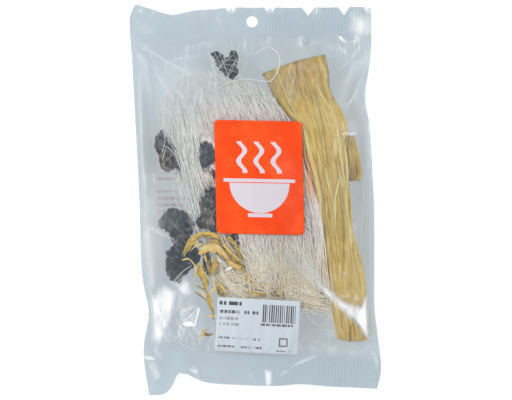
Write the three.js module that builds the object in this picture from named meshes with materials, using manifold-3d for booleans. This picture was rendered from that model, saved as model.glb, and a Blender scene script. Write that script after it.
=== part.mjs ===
// A clear, sealed pillow pack of dried glass noodle mix, lying on its back with the printed side up.
// Millimetres. +Z is up, and +Y points to the end with the hang hole. The origin is on the table,
// under the middle of the pack.
//
// The pack is one closed solid: a film tube welded flat at both ends and filled with a folded bundle of
// glass noodles, a pleated sheet of dried beancurd skin, pieces of black fungus and dried lily buds.
// What lies inside shows as relief in the upper side. The printed panel and the paper label are thin
// skins that follow the film.
import * as THREE from "three";
import { mergeVertices } from "three/addons/utils/BufferGeometryUtils.js";
import Module from "manifold-3d";

const wasm = await Module();
wasm.setup();

// Film
const weldThickness = 0.8; // two layers of film welded together, drawn thicker than the real 0.2
const weldLength = 20; // from a cut end to where the pack opens
const foldHeight = 6; // the side folds stand this far above the table
const weldHeight = 4.5; // the welded ends droop a little lower
const sideRun = 34; // how far in from a side fold the upper film is still rising
const endRun = 46; // the same, from the end of a weld
const undersideRun = 17; // how far in the underside has come down to the table
const fillHeight = 10.5; // how far the contents lift the film everywhere

// The cut outline, seen from above. The side folds are [y, x], and the cut ends are [x, y].
const leftFold = [
  [137, -82.5], [131, -85.9], [114, -88], [98, -86.9], [56, -84.7], [0, -81.8], [-45, -80.5],
  [-62, -78.4], [-78, -74.9], [-90, -76.9], [-104, -79.1], [-120, -77.8], [-136.5, -74.9],
];
const rightFold = [
  [135.8, 80.6], [115, 80.6], [98, 79.8], [81, 77], [73, 76.3], [64, 77], [50, 79.8], [22, 81.2],
  [-12, 82.6], [-70, 82.6], [-87, 84], [-104, 86.2], [-116, 87.6], [-124, 86.8], [-132, 84.6],
];
const topCut = [
  [-82.5, 137], [-75, 134.4], [-66, 131], [-58, 129.5], [-50, 131.4], [-38, 133.4], [-14, 135.1],
  [30, 135.1], [80.6, 135.8],
];
const bottomCut = [
  [-74.9, -136.5], [-66, -136.2], [-60, -132.6], [-55, -123.5], [-49, -120.6], [-43, -124.6],
  [-34, -127.7], [-13, -129.5], [15, -130.1], [32, -129], [56, -130.8], [84.6, -132],
];

// The hang hole, punched through the top weld
const hangHole = { x: -2.8, y: 125, diameter: 8, sides: 24 };

// Waves in the top weld, tallest at its cut edge, and the places where a weld curls up
const topWave = { pitch: 26.5, crestX: 10.5, height: 1.5 };
const bottomWave = { pitch: 38, crestX: 8, height: 1 };
const topCurl = { x: -58, width: 13, height: 4.5 };
const bottomCurl = { x: -50, width: 10, height: 7 };

// What lifts the film: the middle, the half width and half length, and the turn in degrees
const lumps = [
  { what: "noodle bundle", x: -9, y: 2, wide: 40, long: 92, turn: -6, height: 13.5 },
  { what: "noodle tail", x: 12, y: -70, wide: 32, long: 34, turn: 10, height: 4 },
  { what: "fungus by the top weld", x: -21, y: 94, wide: 12, long: 12, turn: 0, height: 2.5 },
  { what: "leaf of fungus", x: -63, y: 35, wide: 9, long: 18, turn: 20, height: 4 },
  { what: "fungus beside the panel", x: -35, y: 31, wide: 9, long: 11, turn: 0, height: 2.2 },
  { what: "fungus under the panel", x: -35, y: -10, wide: 8, long: 14, turn: -10, height: 2.5 },
  { what: "large fungus, upper lobe", x: -56, y: -20, wide: 13, long: 14, turn: 0, height: 4.5 },
  { what: "large fungus, lower lobe", x: -53, y: -45, wide: 11, long: 15, turn: 0, height: 4.5 },
  { what: "lily buds", x: -29, y: -46, wide: 20, long: 24, turn: -15, height: 3.5 },
  { what: "lily bud ends", x: -36, y: -80, wide: 8, long: 16, turn: 0, height: 1.8 },
];

// The beancurd skin: a pleated sheet, wide at its top and narrow at its waist
const beancurd = {
  spine: [[29, 92], [42, 55], [52, 15], [54, -20], [62, -60], [65, -92]],
  halfWidth: [24, 20, 15, 15, 17, 16],
  height: 7,
  pleatPitch: 7.5,
  pleatDepth: 0.7,
};

// Creases in the film: a ridge from one point to the other, or a valley if its height is negative
const creases = [
  { from: [-84, 111], to: [-40, 82], width: 4, height: 1.6 },
  { from: [-84, 108], to: [-62, 64], width: 4, height: -1.3 },
  { from: [78, 108], to: [58, 84], width: 4, height: 1.4 },
  { from: [74, 72], to: [56, 62], width: 4, height: -1.5 },
  { from: [86, -112], to: [54, -62], width: 6, height: 3 },
  { from: [-74, -78], to: [-36, -70], width: 5, height: 2.4 },
  { from: [-66, -108], to: [-37, -72], width: 5, height: -2.2 },
  { from: [-50, -116], to: [-46, -92], width: 4, height: 2 },
  { from: [14, -122], to: [44, -106], width: 4, height: 1.2 },
];
const weldFolds = { x: [-8, 9, 30, 49, 59], y: 110, width: 2.6, length: 9, height: 0.9 };

// The printed panel and the paper label: their middle, size and corner radius, and how far the sides
// lean and the ends slope, as mm in each mm
const panel = { x: 2.3, y: 15.8, wide: 61.5, long: 79.5, corner: 3, lean: -0.022, slope: -0.02 };
const label = { x: 1.2, y: -88.4, wide: 58, long: 38, corner: 0.6, lean: 0.053, slope: -0.051 };
const skinGap = 0.3;
const skinThickness = 0.4;

// The mesh: cells across and along, and how many of them lie outside the flat middle of the underside
const cellsAcross = 44;
const cellsAlong = 68;
const rimCellsAcross = 6;
const rimCellsAlong = 10;

const colours = { film: 0xb9c6ce, panel: 0xfb5821, label: 0xe1e8f0 };

// A smooth curve through [key, value] points, read at any key.
function smoothCurve(points) {
  const sorted = [...points].sort((a, b) => a[0] - b[0]);
  const curve = new THREE.SplineCurve(sorted.map(([key, value]) => new THREE.Vector2(key, value)));
  const fine = curve.getPoints(20 * sorted.length);
  return (key) => {
    const next = fine.findIndex((point) => point.x >= key);
    if (next < 0) return fine[fine.length - 1].y;
    if (next === 0) return fine[0].y;
    const [a, b] = [fine[next - 1], fine[next]];
    return THREE.MathUtils.lerp(a.y, b.y, (key - a.x) / (b.x - a.x));
  };
}

const leftX = smoothCurve(leftFold);
const rightX = smoothCurve(rightFold);
const topY = smoothCurve(topCut);
const bottomY = smoothCurve(bottomCut);

// The point of the outlined sheet at u across (0 is the left fold) and v along (0 is the bottom cut).
const corners = {
  bottomLeft: bottomCut[0],
  bottomRight: bottomCut.at(-1),
  topLeft: topCut[0],
  topRight: topCut.at(-1),
};

function sheetPoint(u, v) {
  const { lerp } = THREE.MathUtils;
  const { bottomLeft, bottomRight, topLeft, topRight } = corners;
  const bottomX = lerp(bottomLeft[0], bottomRight[0], u);
  const topX = lerp(topLeft[0], topRight[0], u);
  const leftY = lerp(bottomLeft[1], topLeft[1], v);
  const rightY = lerp(bottomRight[1], topRight[1], v);
  const ends = [bottomX, bottomY(bottomX), topX, topY(topX)];
  const sides = [leftX(leftY), leftY, rightX(rightY), rightY];
  const coons = (axis) =>
    lerp(ends[axis], ends[axis + 2], v) +
    lerp(sides[axis], sides[axis + 2], u) -
    lerp(
      lerp(bottomLeft[axis], bottomRight[axis], u),
      lerp(topLeft[axis], topRight[axis], u),
      v,
    );
  return { x: coons(0), y: coons(1) };
}

const bell = (distance, width) => Math.exp(-((distance / width) ** 2));

// How high a round lump lifts the film at a point: full in the middle, and nothing past its edge.
function lumpLift({ x, y, wide, long, turn, height }, px, py) {
  const angle = THREE.MathUtils.degToRad(turn);
  const across = (px - x) * Math.cos(angle) + (py - y) * Math.sin(angle);
  const along = (py - y) * Math.cos(angle) - (px - x) * Math.sin(angle);
  const reach = (across / wide) ** 2 + (along / long) ** 2;
  return height * Math.exp(-1.1 * reach ** 1.3);
}

// The pleated sheet lifts the film along its spine, and its pleats run the same way.
const spineX = smoothCurve(beancurd.spine.map(([x, y]) => [y, x]));
const spineHalf = smoothCurve(beancurd.spine.map(([, y], i) => [y, beancurd.halfWidth[i]]));
const spineEnds = [beancurd.spine.at(-1)[1], beancurd.spine[0][1]];

function beancurdLift(px, py) {
  const y = THREE.MathUtils.clamp(py, ...spineEnds);
  const across = (px - spineX(y)) / spineHalf(y);
  const pastEnd = (py - y) / 9;
  const body = Math.exp(-1.2 * Math.abs(across) ** 3.2 - pastEnd ** 2);
  const pleats = Math.cos((2 * Math.PI * across * spineHalf(y)) / beancurd.pleatPitch);
  return body * (beancurd.height + beancurd.pleatDepth * pleats);
}

// A crease fades out at both ends, and its sides are steeper than a bell's.
function creaseLift({ from, to, width, height }, px, py) {
  const [dx, dy] = [to[0] - from[0], to[1] - from[1]];
  const length = Math.hypot(dx, dy);
  const along = ((px - from[0]) * dx + (py - from[1]) * dy) / length;
  const aside = ((px - from[0]) * dy - (py - from[1]) * dx) / length;
  const share = THREE.MathUtils.clamp(along / length, 0, 1);
  const past = along - share * length;
  const ridge = Math.exp(-Math.abs(aside) / width);
  return height * ridge * Math.sin(Math.PI * (0.15 + 0.7 * share)) * bell(past, width);
}

function foldLift(px, py) {
  const { x, y, width, length, height } = weldFolds;
  const near = bell(py - y, length);
  return x.reduce((sum, foldX) => sum + height * bell(px - foldX, width) * near, 0);
}

const smooth = (from, to, value) => THREE.MathUtils.smoothstep(value, from, to);

// How far the film has risen or come down at a point, from 0 at the rim to 1, as a round shoulder.
const shoulder = (distance, run) => Math.sqrt(1 - (1 - Math.min(1, Math.max(0, distance / run))) ** 2);

// Height of the middle of the film where its two layers meet, at the rim and in the welds.
function seamHeight(px, endTop, endBottom) {
  const turnOf = ({ pitch, crestX }) => Math.cos((2 * Math.PI * (px - crestX)) / pitch);
  const topEdge = 1 - smooth(0, weldLength + 8, endTop);
  const bottomEdge = 1 - smooth(0, weldLength + 8, endBottom);
  const droop = Math.max(1 - smooth(0, 45, endTop), 1 - smooth(0, 45, endBottom));
  return (
    THREE.MathUtils.lerp(foldHeight, weldHeight, droop) +
    topEdge * topWave.height * turnOf(topWave) +
    bottomEdge * bottomWave.height * turnOf(bottomWave) +
    topEdge ** 2 * topCurl.height * bell(px - topCurl.x, topCurl.width) +
    bottomEdge ** 2 * bottomCurl.height * bell(px - bottomCurl.x, bottomCurl.width)
  );
}

// The upper and lower height of the pack at u across and v along.
function heights(u, v) {
  const { x, y } = sheetPoint(u, v);
  const [left, right] = [sheetPoint(0, v), sheetPoint(1, v)];
  const [bottom, top] = [sheetPoint(u, 0), sheetPoint(u, 1)];
  const side = Math.min(x - left.x, right.x - x);
  const [endTop, endBottom] = [top.y - y, y - bottom.y];
  const end = Math.min(endTop, endBottom) - weldLength;
  const seam = seamHeight(x, endTop, endBottom);

  const inflated = shoulder(side, sideRun) * shoulder(end, endRun) ** 1.6;
  const lifts = lumps.reduce((sum, lump) => sum + lumpLift(lump, x, y), beancurdLift(x, y));
  const creased = creases.reduce((sum, crease) => sum + creaseLift(crease, x, y), foldLift(x, y));
  const offRim = smooth(0, 12, side) * smooth(-6, 8, end);
  const upper = seam + weldThickness / 2 + inflated * (fillHeight + lifts) + offRim * creased;

  const lowered = Math.min(1, Math.max(0, side / undersideRun)) * Math.min(1, Math.max(0, end / undersideRun));
  const lower = (seam - weldThickness / 2) * (1 - lowered) ** 2;
  return { x, y, upper, lower: Math.min(lower, upper - weldThickness) };
}

// The closed skin of the pack: the upper side, the underside with its flat middle, and the rim.
function packGeometry() {
  const positions = [];
  const triangles = [];
  const upper = [];
  const lower = [];
  for (let j = 0; j <= cellsAlong; j++) {
    for (let i = 0; i <= cellsAcross; i++) {
      const at = heights(i / cellsAcross, j / cellsAlong);
      upper.push(positions.length / 3);
      positions.push(at.x, at.y, at.upper);
      lower.push(positions.length / 3);
      positions.push(at.x, at.y, at.lower);
    }
  }
  const index = (i, j) => j * (cellsAcross + 1) + i;
  const quad = (a, b, c, d) => triangles.push(a, b, c, a, c, d);
  const inFlat = (i, j) =>
    i >= rimCellsAcross && i < cellsAcross - rimCellsAcross &&
    j >= rimCellsAlong && j < cellsAlong - rimCellsAlong;

  for (let j = 0; j < cellsAlong; j++) {
    for (let i = 0; i < cellsAcross; i++) {
      const around = [index(i, j), index(i + 1, j), index(i + 1, j + 1), index(i, j + 1)];
      quad(...around.map((k) => upper[k]));
      if (!inFlat(i, j)) quad(...around.map((k) => lower[k]).reverse());
    }
  }

  const loop = (i0, i1, j0, j1) => {
    const ring = [];
    for (let i = i0; i < i1; i++) ring.push(index(i, j0));
    for (let j = j0; j < j1; j++) ring.push(index(i1, j));
    for (let i = i1; i > i0; i--) ring.push(index(i, j1));
    for (let j = j1; j > j0; j--) ring.push(index(i0, j));
    return ring;
  };

  // The flat middle of the underside is a fan of triangles round its centre.
  const centre = lower[index(cellsAcross / 2, cellsAlong / 2)];
  const flat = loop(
    rimCellsAcross, cellsAcross - rimCellsAcross, rimCellsAlong, cellsAlong - rimCellsAlong,
  ).map((k) => lower[k]);
  flat.forEach((k, n) => triangles.push(centre, flat[(n + 1) % flat.length], k));

  const rim = loop(0, cellsAcross, 0, cellsAlong);
  rim.forEach((k, n) => {
    const next = rim[(n + 1) % rim.length];
    quad(lower[k], lower[next], upper[next], upper[k]);
  });

  const geometry = new THREE.BufferGeometry();
  geometry.setAttribute("position", new THREE.Float32BufferAttribute(positions, 3));
  geometry.setIndex(triangles);
  geometry.computeBoundingBox();
  const box = geometry.boundingBox;
  geometry.translate(-(box.min.x + box.max.x) / 2, -(box.min.y + box.max.y) / 2, 0);
  return geometry;
}

// A closed geometry as a solid that can be cut and joined.
function toSolid(geometry) {
  const bare = geometry.clone();
  bare.deleteAttribute("normal");
  bare.deleteAttribute("uv");
  const merged = mergeVertices(bare, 1e-4);
  return new wasm.Manifold(
    new wasm.Mesh({
      numProp: 3,
      vertProperties: merged.attributes.position.array,
      triVerts: new Uint32Array(merged.index.array),
    }),
  );
}

function toGeometry(solid) {
  const { vertProperties, triVerts } = solid.getMesh();
  const geometry = new THREE.BufferGeometry();
  geometry.setAttribute("position", new THREE.BufferAttribute(vertProperties, 3));
  geometry.setIndex(new THREE.BufferAttribute(triVerts, 1));
  geometry.computeVertexNormals();
  return geometry;
}

function punchedPack() {
  const punch = new THREE.CylinderGeometry(
    hangHole.diameter / 2, hangHole.diameter / 2, 40, hangHole.sides,
  );
  punch.rotateX(Math.PI / 2);
  punch.translate(hangHole.x, hangHole.y, 0);
  return toSolid(packGeometry()).subtract(toSolid(punch));
}

// A block with a rounded outline that stands up through the pack, for cutting a skin to size.
function cutter({ x, y, wide, long, corner, lean, slope }) {
  const [right, top] = [wide / 2, long / 2];
  const shape = new THREE.Shape();
  shape.absarc(right - corner, top - corner, corner, 0, Math.PI / 2);
  shape.absarc(corner - right, top - corner, corner, Math.PI / 2, Math.PI);
  shape.absarc(corner - right, corner - top, corner, Math.PI, 1.5 * Math.PI);
  shape.absarc(right - corner, corner - top, corner, 1.5 * Math.PI, 2 * Math.PI);
  const block = new THREE.ExtrudeGeometry(shape, { depth: 60, bevelEnabled: false, curveSegments: 4 });
  block.applyMatrix4(new THREE.Matrix4().set(1, lean, 0, x, slope, 1, 0, y, 0, 0, 1, 0, 0, 0, 0, 1));
  return toSolid(block);
}

// A thin skin over the film, as the film's own surface raised twice and the space between kept.
function skin(pack, place) {
  const outer = pack.translate(0, 0, skinGap + skinThickness);
  const inner = pack.translate(0, 0, skinGap);
  return cutter(place).intersect(outer).subtract(inner);
}

function namedMesh(name, solid, color, roughness, opacity = 1) {
  const material = new THREE.MeshStandardMaterial({
    color, roughness, metalness: 0, opacity, transparent: opacity < 1,
  });
  const mesh = new THREE.Mesh(toGeometry(solid), material);
  mesh.name = name;
  return mesh;
}

const pack = punchedPack();
const glassNoodlePack = new THREE.Group();
glassNoodlePack.add(
  namedMesh("pack", pack, colours.film, 0.2, 0.6),
  namedMesh("front_panel", skin(pack, panel), colours.panel, 0.35),
  namedMesh("paper_label", skin(pack, label), colours.label, 0.6),
);

export default glassNoodlePack;
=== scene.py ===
import math
import random

import bmesh
import bpy
import numpy as np
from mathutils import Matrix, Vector, noise
from mathutils.bvhtree import BVHTree


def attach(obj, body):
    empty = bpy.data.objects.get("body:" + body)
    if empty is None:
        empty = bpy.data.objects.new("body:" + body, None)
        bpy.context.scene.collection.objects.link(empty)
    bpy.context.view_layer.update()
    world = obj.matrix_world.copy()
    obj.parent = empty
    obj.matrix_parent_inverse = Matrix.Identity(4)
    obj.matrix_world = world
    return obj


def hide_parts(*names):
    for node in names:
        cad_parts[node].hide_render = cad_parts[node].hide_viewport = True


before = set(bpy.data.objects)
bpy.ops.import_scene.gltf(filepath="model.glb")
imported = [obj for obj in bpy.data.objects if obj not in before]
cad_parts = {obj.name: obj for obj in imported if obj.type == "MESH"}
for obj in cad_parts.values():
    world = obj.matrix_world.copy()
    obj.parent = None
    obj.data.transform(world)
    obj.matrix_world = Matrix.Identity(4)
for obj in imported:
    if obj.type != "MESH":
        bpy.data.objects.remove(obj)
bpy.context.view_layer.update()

mm = 0.001
# vector noise is moved by offsets that differ from run to run, unless they are seeded
noise.seed_set(2)


# Shading: a socket whose maths is written as an expression, and a material that adds nodes by one method
class Wire:
    def __init__(self, maker, output):
        self.maker = maker
        self.output = output

    def maths(self, operation, *values):
        return self.maker.add("ShaderNodeMath", {"operation": operation}, list(values))

    def __add__(self, other):
        return self.maths("ADD", self, other)

    def __sub__(self, other):
        return self.maths("SUBTRACT", self, other)

    def __rsub__(self, other):
        return self.maths("SUBTRACT", other, self)

    def __mul__(self, other):
        return self.maths("MULTIPLY", self, other)

    def __truediv__(self, other):
        return self.maths("DIVIDE", self, other)

    def __gt__(self, other):
        return self.maths("GREATER_THAN", self, other)

    def __lt__(self, other):
        return self.maths("LESS_THAN", self, other)

    def __abs__(self):
        return self.maths("ABSOLUTE", self)

    __radd__ = __add__
    __rmul__ = __mul__

    def sine(self):
        return self.maths("SINE", self)

    def floor(self):
        return self.maths("FLOOR", self)

    def most(self, other):
        return self.maths("MAXIMUM", self, other)

    def least(self, other):
        return self.maths("MINIMUM", self, other)

    def clear(self):
        return self.least(1.0).most(0.0)


class Finish:
    def __init__(self, name):
        self.material = bpy.data.materials.new(name)
        self.material.use_nodes = True
        self.nodes = self.material.node_tree.nodes
        self.links = self.material.node_tree.links
        self.nodes.clear()
        self.output = self.nodes.new("ShaderNodeOutputMaterial")

    def add(self, kind, settings=None, inputs=None, output=0):
        node = self.nodes.new(kind)
        for key, value in (settings or {}).items():
            if key == "stops":
                for n, (place, colour) in enumerate(value):
                    stop = node.color_ramp.elements[n] if n < 2 else node.color_ramp.elements.new(place)
                    stop.position = place
                    stop.color = (*colour, 1)
            else:
                setattr(node, key, value)
        pairs = inputs.items() if isinstance(inputs, dict) else enumerate(inputs or [])
        for key, value in pairs:
            if isinstance(value, Wire):
                self.links.new(value.output, node.inputs[key])
            else:
                node.inputs[key].default_value = value
        return Wire(self, node.outputs[output])

    def place(self):
        return self.add("ShaderNodeTexCoord", output="Object")

    def split(self, vector):
        return [self.add("ShaderNodeSeparateXYZ", {}, {"Vector": vector}, axis) for axis in "XYZ"]

    def attribute(self, key, output="Fac"):
        return self.add("ShaderNodeAttribute", {"attribute_name": key}, output=output)

    def chance(self, value):
        # a number from 0 to 1 at random for each value
        return self.add("ShaderNodeTexWhiteNoise", {"noise_dimensions": "1D"}, {"W": value})

    def noise(self, vector, scale, detail=2.0, roughness=0.5, distortion=0.0):
        inputs = {"Vector": vector, "Scale": scale, "Detail": detail, "Roughness": roughness}
        return self.add("ShaderNodeTexNoise", {}, {**inputs, "Distortion": distortion}, "Fac")

    def streaks(self, vector, stretch, scale, detail=2.0, roughness=0.5, distortion=0.0, move=(0, 0, 0)):
        # noise drawn out along the axes whose stretch is small
        inputs = {"Vector": vector, "Location": move, "Scale": stretch}
        drawn = self.add("ShaderNodeMapping", {}, inputs)
        return self.noise(drawn, scale, detail, roughness, distortion)

    def ramp(self, value, stops):
        return self.add("ShaderNodeValToRGB", {"stops": stops}, {"Fac": value}, "Color")

    def between(self, value, low, high, toLow=0.0, toHigh=1.0):
        return self.add("ShaderNodeMapRange", {"clamp": True}, [value, low, high, toLow, toHigh])

    def mix(self, factor, one, other):
        colours = [c if isinstance(c, Wire) else (*c, 1) for c in (one, other)]
        inputs = {0: factor, 6: colours[0], 7: colours[1]}
        return self.add("ShaderNodeMix", {"data_type": "RGBA"}, inputs, 2)

    def inside(self, x, y, outline, soft):
        # a soft mask of a convex outline, given anticlockwise in metres
        near = None
        for (ax, ay), (bx, by) in sidesOf(outline):
            length = math.hypot(bx - ax, by - ay)
            run, up = (bx - ax) / length, (by - ay) / length
            side = y * run - x * up + (ax * up - ay * run)
            near = side if near is None else near.least(side)
        return self.between(near, -soft, soft)

    def bump(self, height, distance, strength=1.0):
        inputs = {"Height": height, "Distance": distance, "Strength": strength}
        return self.add("ShaderNodeBump", {}, inputs, "Normal")

    def surface(self, inputs):
        self.links.new(self.add("ShaderNodeBsdfPrincipled", {}, inputs).output, self.output.inputs[0])
        return self.material


# Camera: straight above the bag, as the photo sees it from the front
camera = {"lens": 100, "sensor": 36, "viewWidth": 358.4 * mm, "seamHeight": 6 * mm}
camera["height"] = camera["seamHeight"] + camera["viewWidth"] * camera["lens"] / camera["sensor"]


def makeCamera():
    bpy.ops.object.camera_add(location=(0, 0, camera["height"]), rotation=(0, 0, 0))
    view = bpy.context.object
    view.data.lens = camera["lens"]
    view.data.sensor_width = camera["sensor"]
    view.data.clip_end = 20
    bpy.context.scene.camera = view


def seenAt(x, y, z):
    # where a point at height z lies, if the camera sees it in line with x, y at the height of the side folds
    closer = (camera["height"] - z) / (camera["height"] - camera["seamHeight"])
    return x * closer, y * closer


# Studio: a pale floor, soft boxes and an even pale surround
studio = {
    "floorSize": 8.0,
    "floorColour": (0.30, 0.30, 0.30),
    "floorGlow": 0.78,
    "surround": (0.93, 0.96, 1.0),
    "surroundStrength": 0.58,
    "boxes": [
        {"name": "leftBox", "at": (-1.05, 0.35, 0.8), "size": (0.3, 0.9), "power": 9, "gloss": False},
        {"name": "rightBox", "at": (1.05, 0.2, 0.75), "size": (0.22, 0.9), "power": 4},
        {"name": "nearBox", "at": (-0.9, -1.2, 0.8), "size": (1.3, 0.4), "power": 7},
        {"name": "farBox", "at": (0.9, 1.3, 0.8), "size": (0.9, 0.4), "power": 6},
    ],
}


def makeStudio():
    bpy.ops.mesh.primitive_plane_add(size=studio["floorSize"], location=(0, 0, -0.1 * mm))
    floor = bpy.context.object
    floor.name = "floor"
    paint = Finish("floorPaint")
    grain = paint.noise(paint.place(), 60, 3)
    pale = studio["floorColour"]
    colour = paint.mix(grain, pale, [c * 0.985 for c in pale])
    floor.data.materials.append(paint.surface({
        "Base Color": colour, "Roughness": 0.9,
        "Emission Color": (1, 1, 1, 1), "Emission Strength": studio["floorGlow"],
    }))

    for box in studio["boxes"]:
        bpy.ops.object.light_add(type="AREA", location=box["at"])
        light = bpy.context.object
        light.name = box["name"]
        light.rotation_euler = (-Vector(box["at"])).to_track_quat("-Z", "Y").to_euler()
        light.data.shape = "RECTANGLE"
        light.data.size, light.data.size_y = box["size"]
        light.data.energy = box["power"]
        light.visible_glossy = box.get("gloss", True)

    world = bpy.data.worlds.new("surround")
    bpy.context.scene.world = world
    world.use_nodes = True
    back = world.node_tree.nodes["Background"]
    back.inputs["Color"].default_value = (*studio["surround"], 1)
    back.inputs["Strength"].default_value = studio["surroundStrength"]
    bpy.context.scene.view_settings.view_transform = "Standard"


# Small helpers for modelling
def deselectAll():
    if bpy.context.object and bpy.context.object.mode != "OBJECT":
        bpy.ops.object.mode_set(mode="OBJECT")
    bpy.ops.object.select_all(action="DESELECT")


def only(piece):
    deselectAll()
    piece.select_set(True)
    bpy.context.view_layer.objects.active = piece


def applyAll(piece):
    only(piece)
    for modifier in list(piece.modifiers):
        bpy.ops.object.modifier_apply(modifier=modifier.name)


def editAll(piece, *steps):
    # each step is an edit mode operator with its settings, and acts on all of the piece
    only(piece)
    bpy.ops.object.mode_set(mode="EDIT")
    bpy.ops.mesh.select_all(action="SELECT")
    for operator, settings in steps:
        operator(**settings)
    bpy.ops.object.mode_set(mode="OBJECT")
    return piece


def joined(pieces, name):
    only(pieces[0])
    for piece in pieces:
        piece.select_set(True)
    bpy.ops.object.join()
    whole = bpy.context.object
    whole.name = name
    return whole


def meshOf(name, curve):
    piece = bpy.data.objects.new(name, curve)
    bpy.context.collection.objects.link(piece)
    only(piece)
    bpy.ops.object.convert(target="MESH")
    return bpy.context.object


def grid(name, columns, rows):
    # a sheet of quads whose corners are given places later, a row of corners at a time
    deselectAll()
    bpy.ops.mesh.primitive_grid_add(x_subdivisions=columns, y_subdivisions=rows, size=1)
    piece = bpy.context.object
    piece.name = name
    return piece


def setPlaces(piece, places):
    piece.data.vertices.foreach_set("co", np.asarray(places, dtype=np.float32).ravel())
    piece.data.update()


def getPlaces(piece):
    places = np.empty(3 * len(piece.data.vertices), dtype=np.float32)
    piece.data.vertices.foreach_get("co", places)
    return places.reshape(-1, 3).astype(float)


def setValues(piece, key, values):
    layer = piece.data.attributes.new(key, "FLOAT", "POINT")
    layer.data.foreach_set("value", np.asarray(values, dtype=np.float32).ravel())


def setGrain(piece, places):
    # places across and along the fibres, in mm
    layer = piece.data.attributes.new("grain", "FLOAT_VECTOR", "POINT")
    layer.data.foreach_set("vector", np.asarray(places, dtype=np.float32).ravel())


def shareRim(sheet, other):
    # the outermost corners of a sheet take the other's values
    for edge in (np.s_[0, :], np.s_[-1, :], np.s_[:, 0], np.s_[:, -1]):
        sheet[edge] = other[edge]


def treeOf(*pieces):
    corners, faces = [], []
    for piece in pieces:
        start = len(corners)
        corners += [v.co.copy() for v in piece.data.vertices]
        faces += [[start + k for k in face.vertices] for face in piece.data.polygons]
    return BVHTree.FromPolygons(corners, faces)


def topOf(tree, x, y, missing=None):
    hit = tree.ray_cast(Vector((x, y, 1)), Vector((0, 0, -1)))[0]
    return missing if hit is None else hit.z


def bottomOf(tree, x, y):
    hit = tree.ray_cast(Vector((x, y, -1)), Vector((0, 0, 1)))[0]
    return 0 if hit is None else hit.z


def roofOver(tree, x, y, missing=12):
    # the film's height over a place, all in mm, and a height to use past its edge
    return topOf(tree, x * mm, y * mm, missing * mm) / mm


def finishPiece(piece, slot, *nodes, material=None):
    if material:
        piece.data.materials.clear()
        piece.data.materials.append(material)
    only(piece)
    bpy.ops.object.shade_smooth()
    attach(piece, "root")
    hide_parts(*nodes)
    return piece


def limit(value, low, high):
    return max(low, min(high, value))


def bell(distance, width):
    return np.exp(-((distance / width) ** 2))


def rise(low, high, value):
    share = np.clip((value - low) / (high - low), 0, 1)
    return share * share * (3 - 2 * share)


def noiseAt(x, y, z):
    return noise.noise(Vector((x, y, z)))


def sidesOf(outline):
    return zip(outline, outline[1:] + outline[:1])


def insideOf(x, y, outline):
    # which places lie inside an outline
    inside = np.zeros(np.shape(x), dtype=bool)
    for (ax, ay), (bx, by) in sidesOf(outline):
        across = (ay > y) != (by > y)
        inside ^= across & (x < ax + (y - ay) * (bx - ax) / ((by - ay) or 1e-9))
    return inside


def fromSegment(x, y, start, end):
    # how far each place is from the straight line between two points
    (ax, ay), (bx, by) = start, end
    dx, dy = bx - ax, by - ay
    along = np.clip(((x - ax) * dx + (y - ay) * dy) / (dx**2 + dy**2), 0, 1)
    return np.hypot(x - ax - along * dx, y - ay - along * dy)


def nearLines(x, y, lines):
    # how close each place is to a set of lines in mm, from 0 away from them to a line's own share on it
    total = np.zeros_like(x)
    for points, width, share in lines:
        for start, end in zip(points, points[1:]):
            total = np.maximum(total, share * bell(fromSegment(x, y, start, end), width))
    return total


def throughPoints(points, shares):
    # a smooth curve through the points, at shares of its length from 0 to 1
    points = np.asarray(points, dtype=float)
    padded = np.vstack([2 * points[0] - points[1], points, 2 * points[-1] - points[-2]])
    place = np.clip(np.asarray(shares), 0, 1) * (len(points) - 1)
    n = np.minimum(place.astype(int), len(points) - 2)
    t = (place - n)[:, None]
    a, b, c, d = (padded[n + k] for k in range(4))
    return 0.5 * (2 * b + (c - a) * t + (2 * a - 5 * b + 4 * c - d) * t**2 + (3 * b - a - 3 * c + d) * t**3)


def smoothPath(points, step, least=4):
    # a curve through the points, in even steps and at least so many
    length = np.linalg.norm(np.diff(np.asarray(points, dtype=float), axis=0), axis=1).sum()
    return throughPoints(points, np.linspace(0, 1, max(least, int(length / step))))


def headings(path):
    # the direction of a path at each of its points
    ahead = np.gradient(path, axis=0)
    return ahead / np.linalg.norm(ahead, axis=1)[:, None]


# Film: one closed envelope, the front and back sheet joined at the folds and welds
film = {
    "columns": 240,
    "rows": 172,
    "cornerRounds": 14,
    "evening": (12, 3),
    "halfWeld": 0.22 * mm,
    "weldFade": (15.5, 24),
    "foldRun": 14,
    "lowest": 0.02 * mm,
    "merge": 0.002 * mm,
    "ribPitch": 2.2,
    "pulls": [(-82, 130, -2.6, 0.8, 13), (-55, -125.5, 0.4, 3.2, 4)],
    "ribHeight": 0.13 * mm,
    "nicks": [(-19.4, 1.7, 2.6), (-15.8, 1.9, 2.9), (7.6, 1.6, 3.2), (11.6, 1.9, 2.6), (36.6, 4.6, 6.2),
              (61.6, 4.0, 6.2), (77.6, 2.0, 2.4), (81, 1.6, 1.8)],
    "milky": [
        (-50, 78, 23, 19, 0.36), (-14, 80, 40, 12, 0.16), (-56, 50, 16, 34, 0.12), (-21, 97, 12, 12, -0.45),
        (-62, 34, 9, 15, -0.15), (-73, -28, 8, 34, 0.48), (-52, 8, 12, 20, 0.10),
    ],
    "tight": [
        ([(14, 82), (42, 95)], 13, 0.8),
        ([(38, 82), (46, 40), (52, 10), (56, -30), (64, -70), (67, -92)], 13, 0.85),
        ([(66, 40), (69, 18)], 7, 0.8), ([(-26, 101), (-16, 90)], 9, 1), ([(-64, 42), (-58, 26)], 8, 0.9),
    ],
    "hole": (-2.8 * mm, 125 * mm, 4 * mm),
    "looseCreases": 110,
    "waves": 7,
    "backRelief": 0.3,
    "seed": 7,
}
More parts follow.
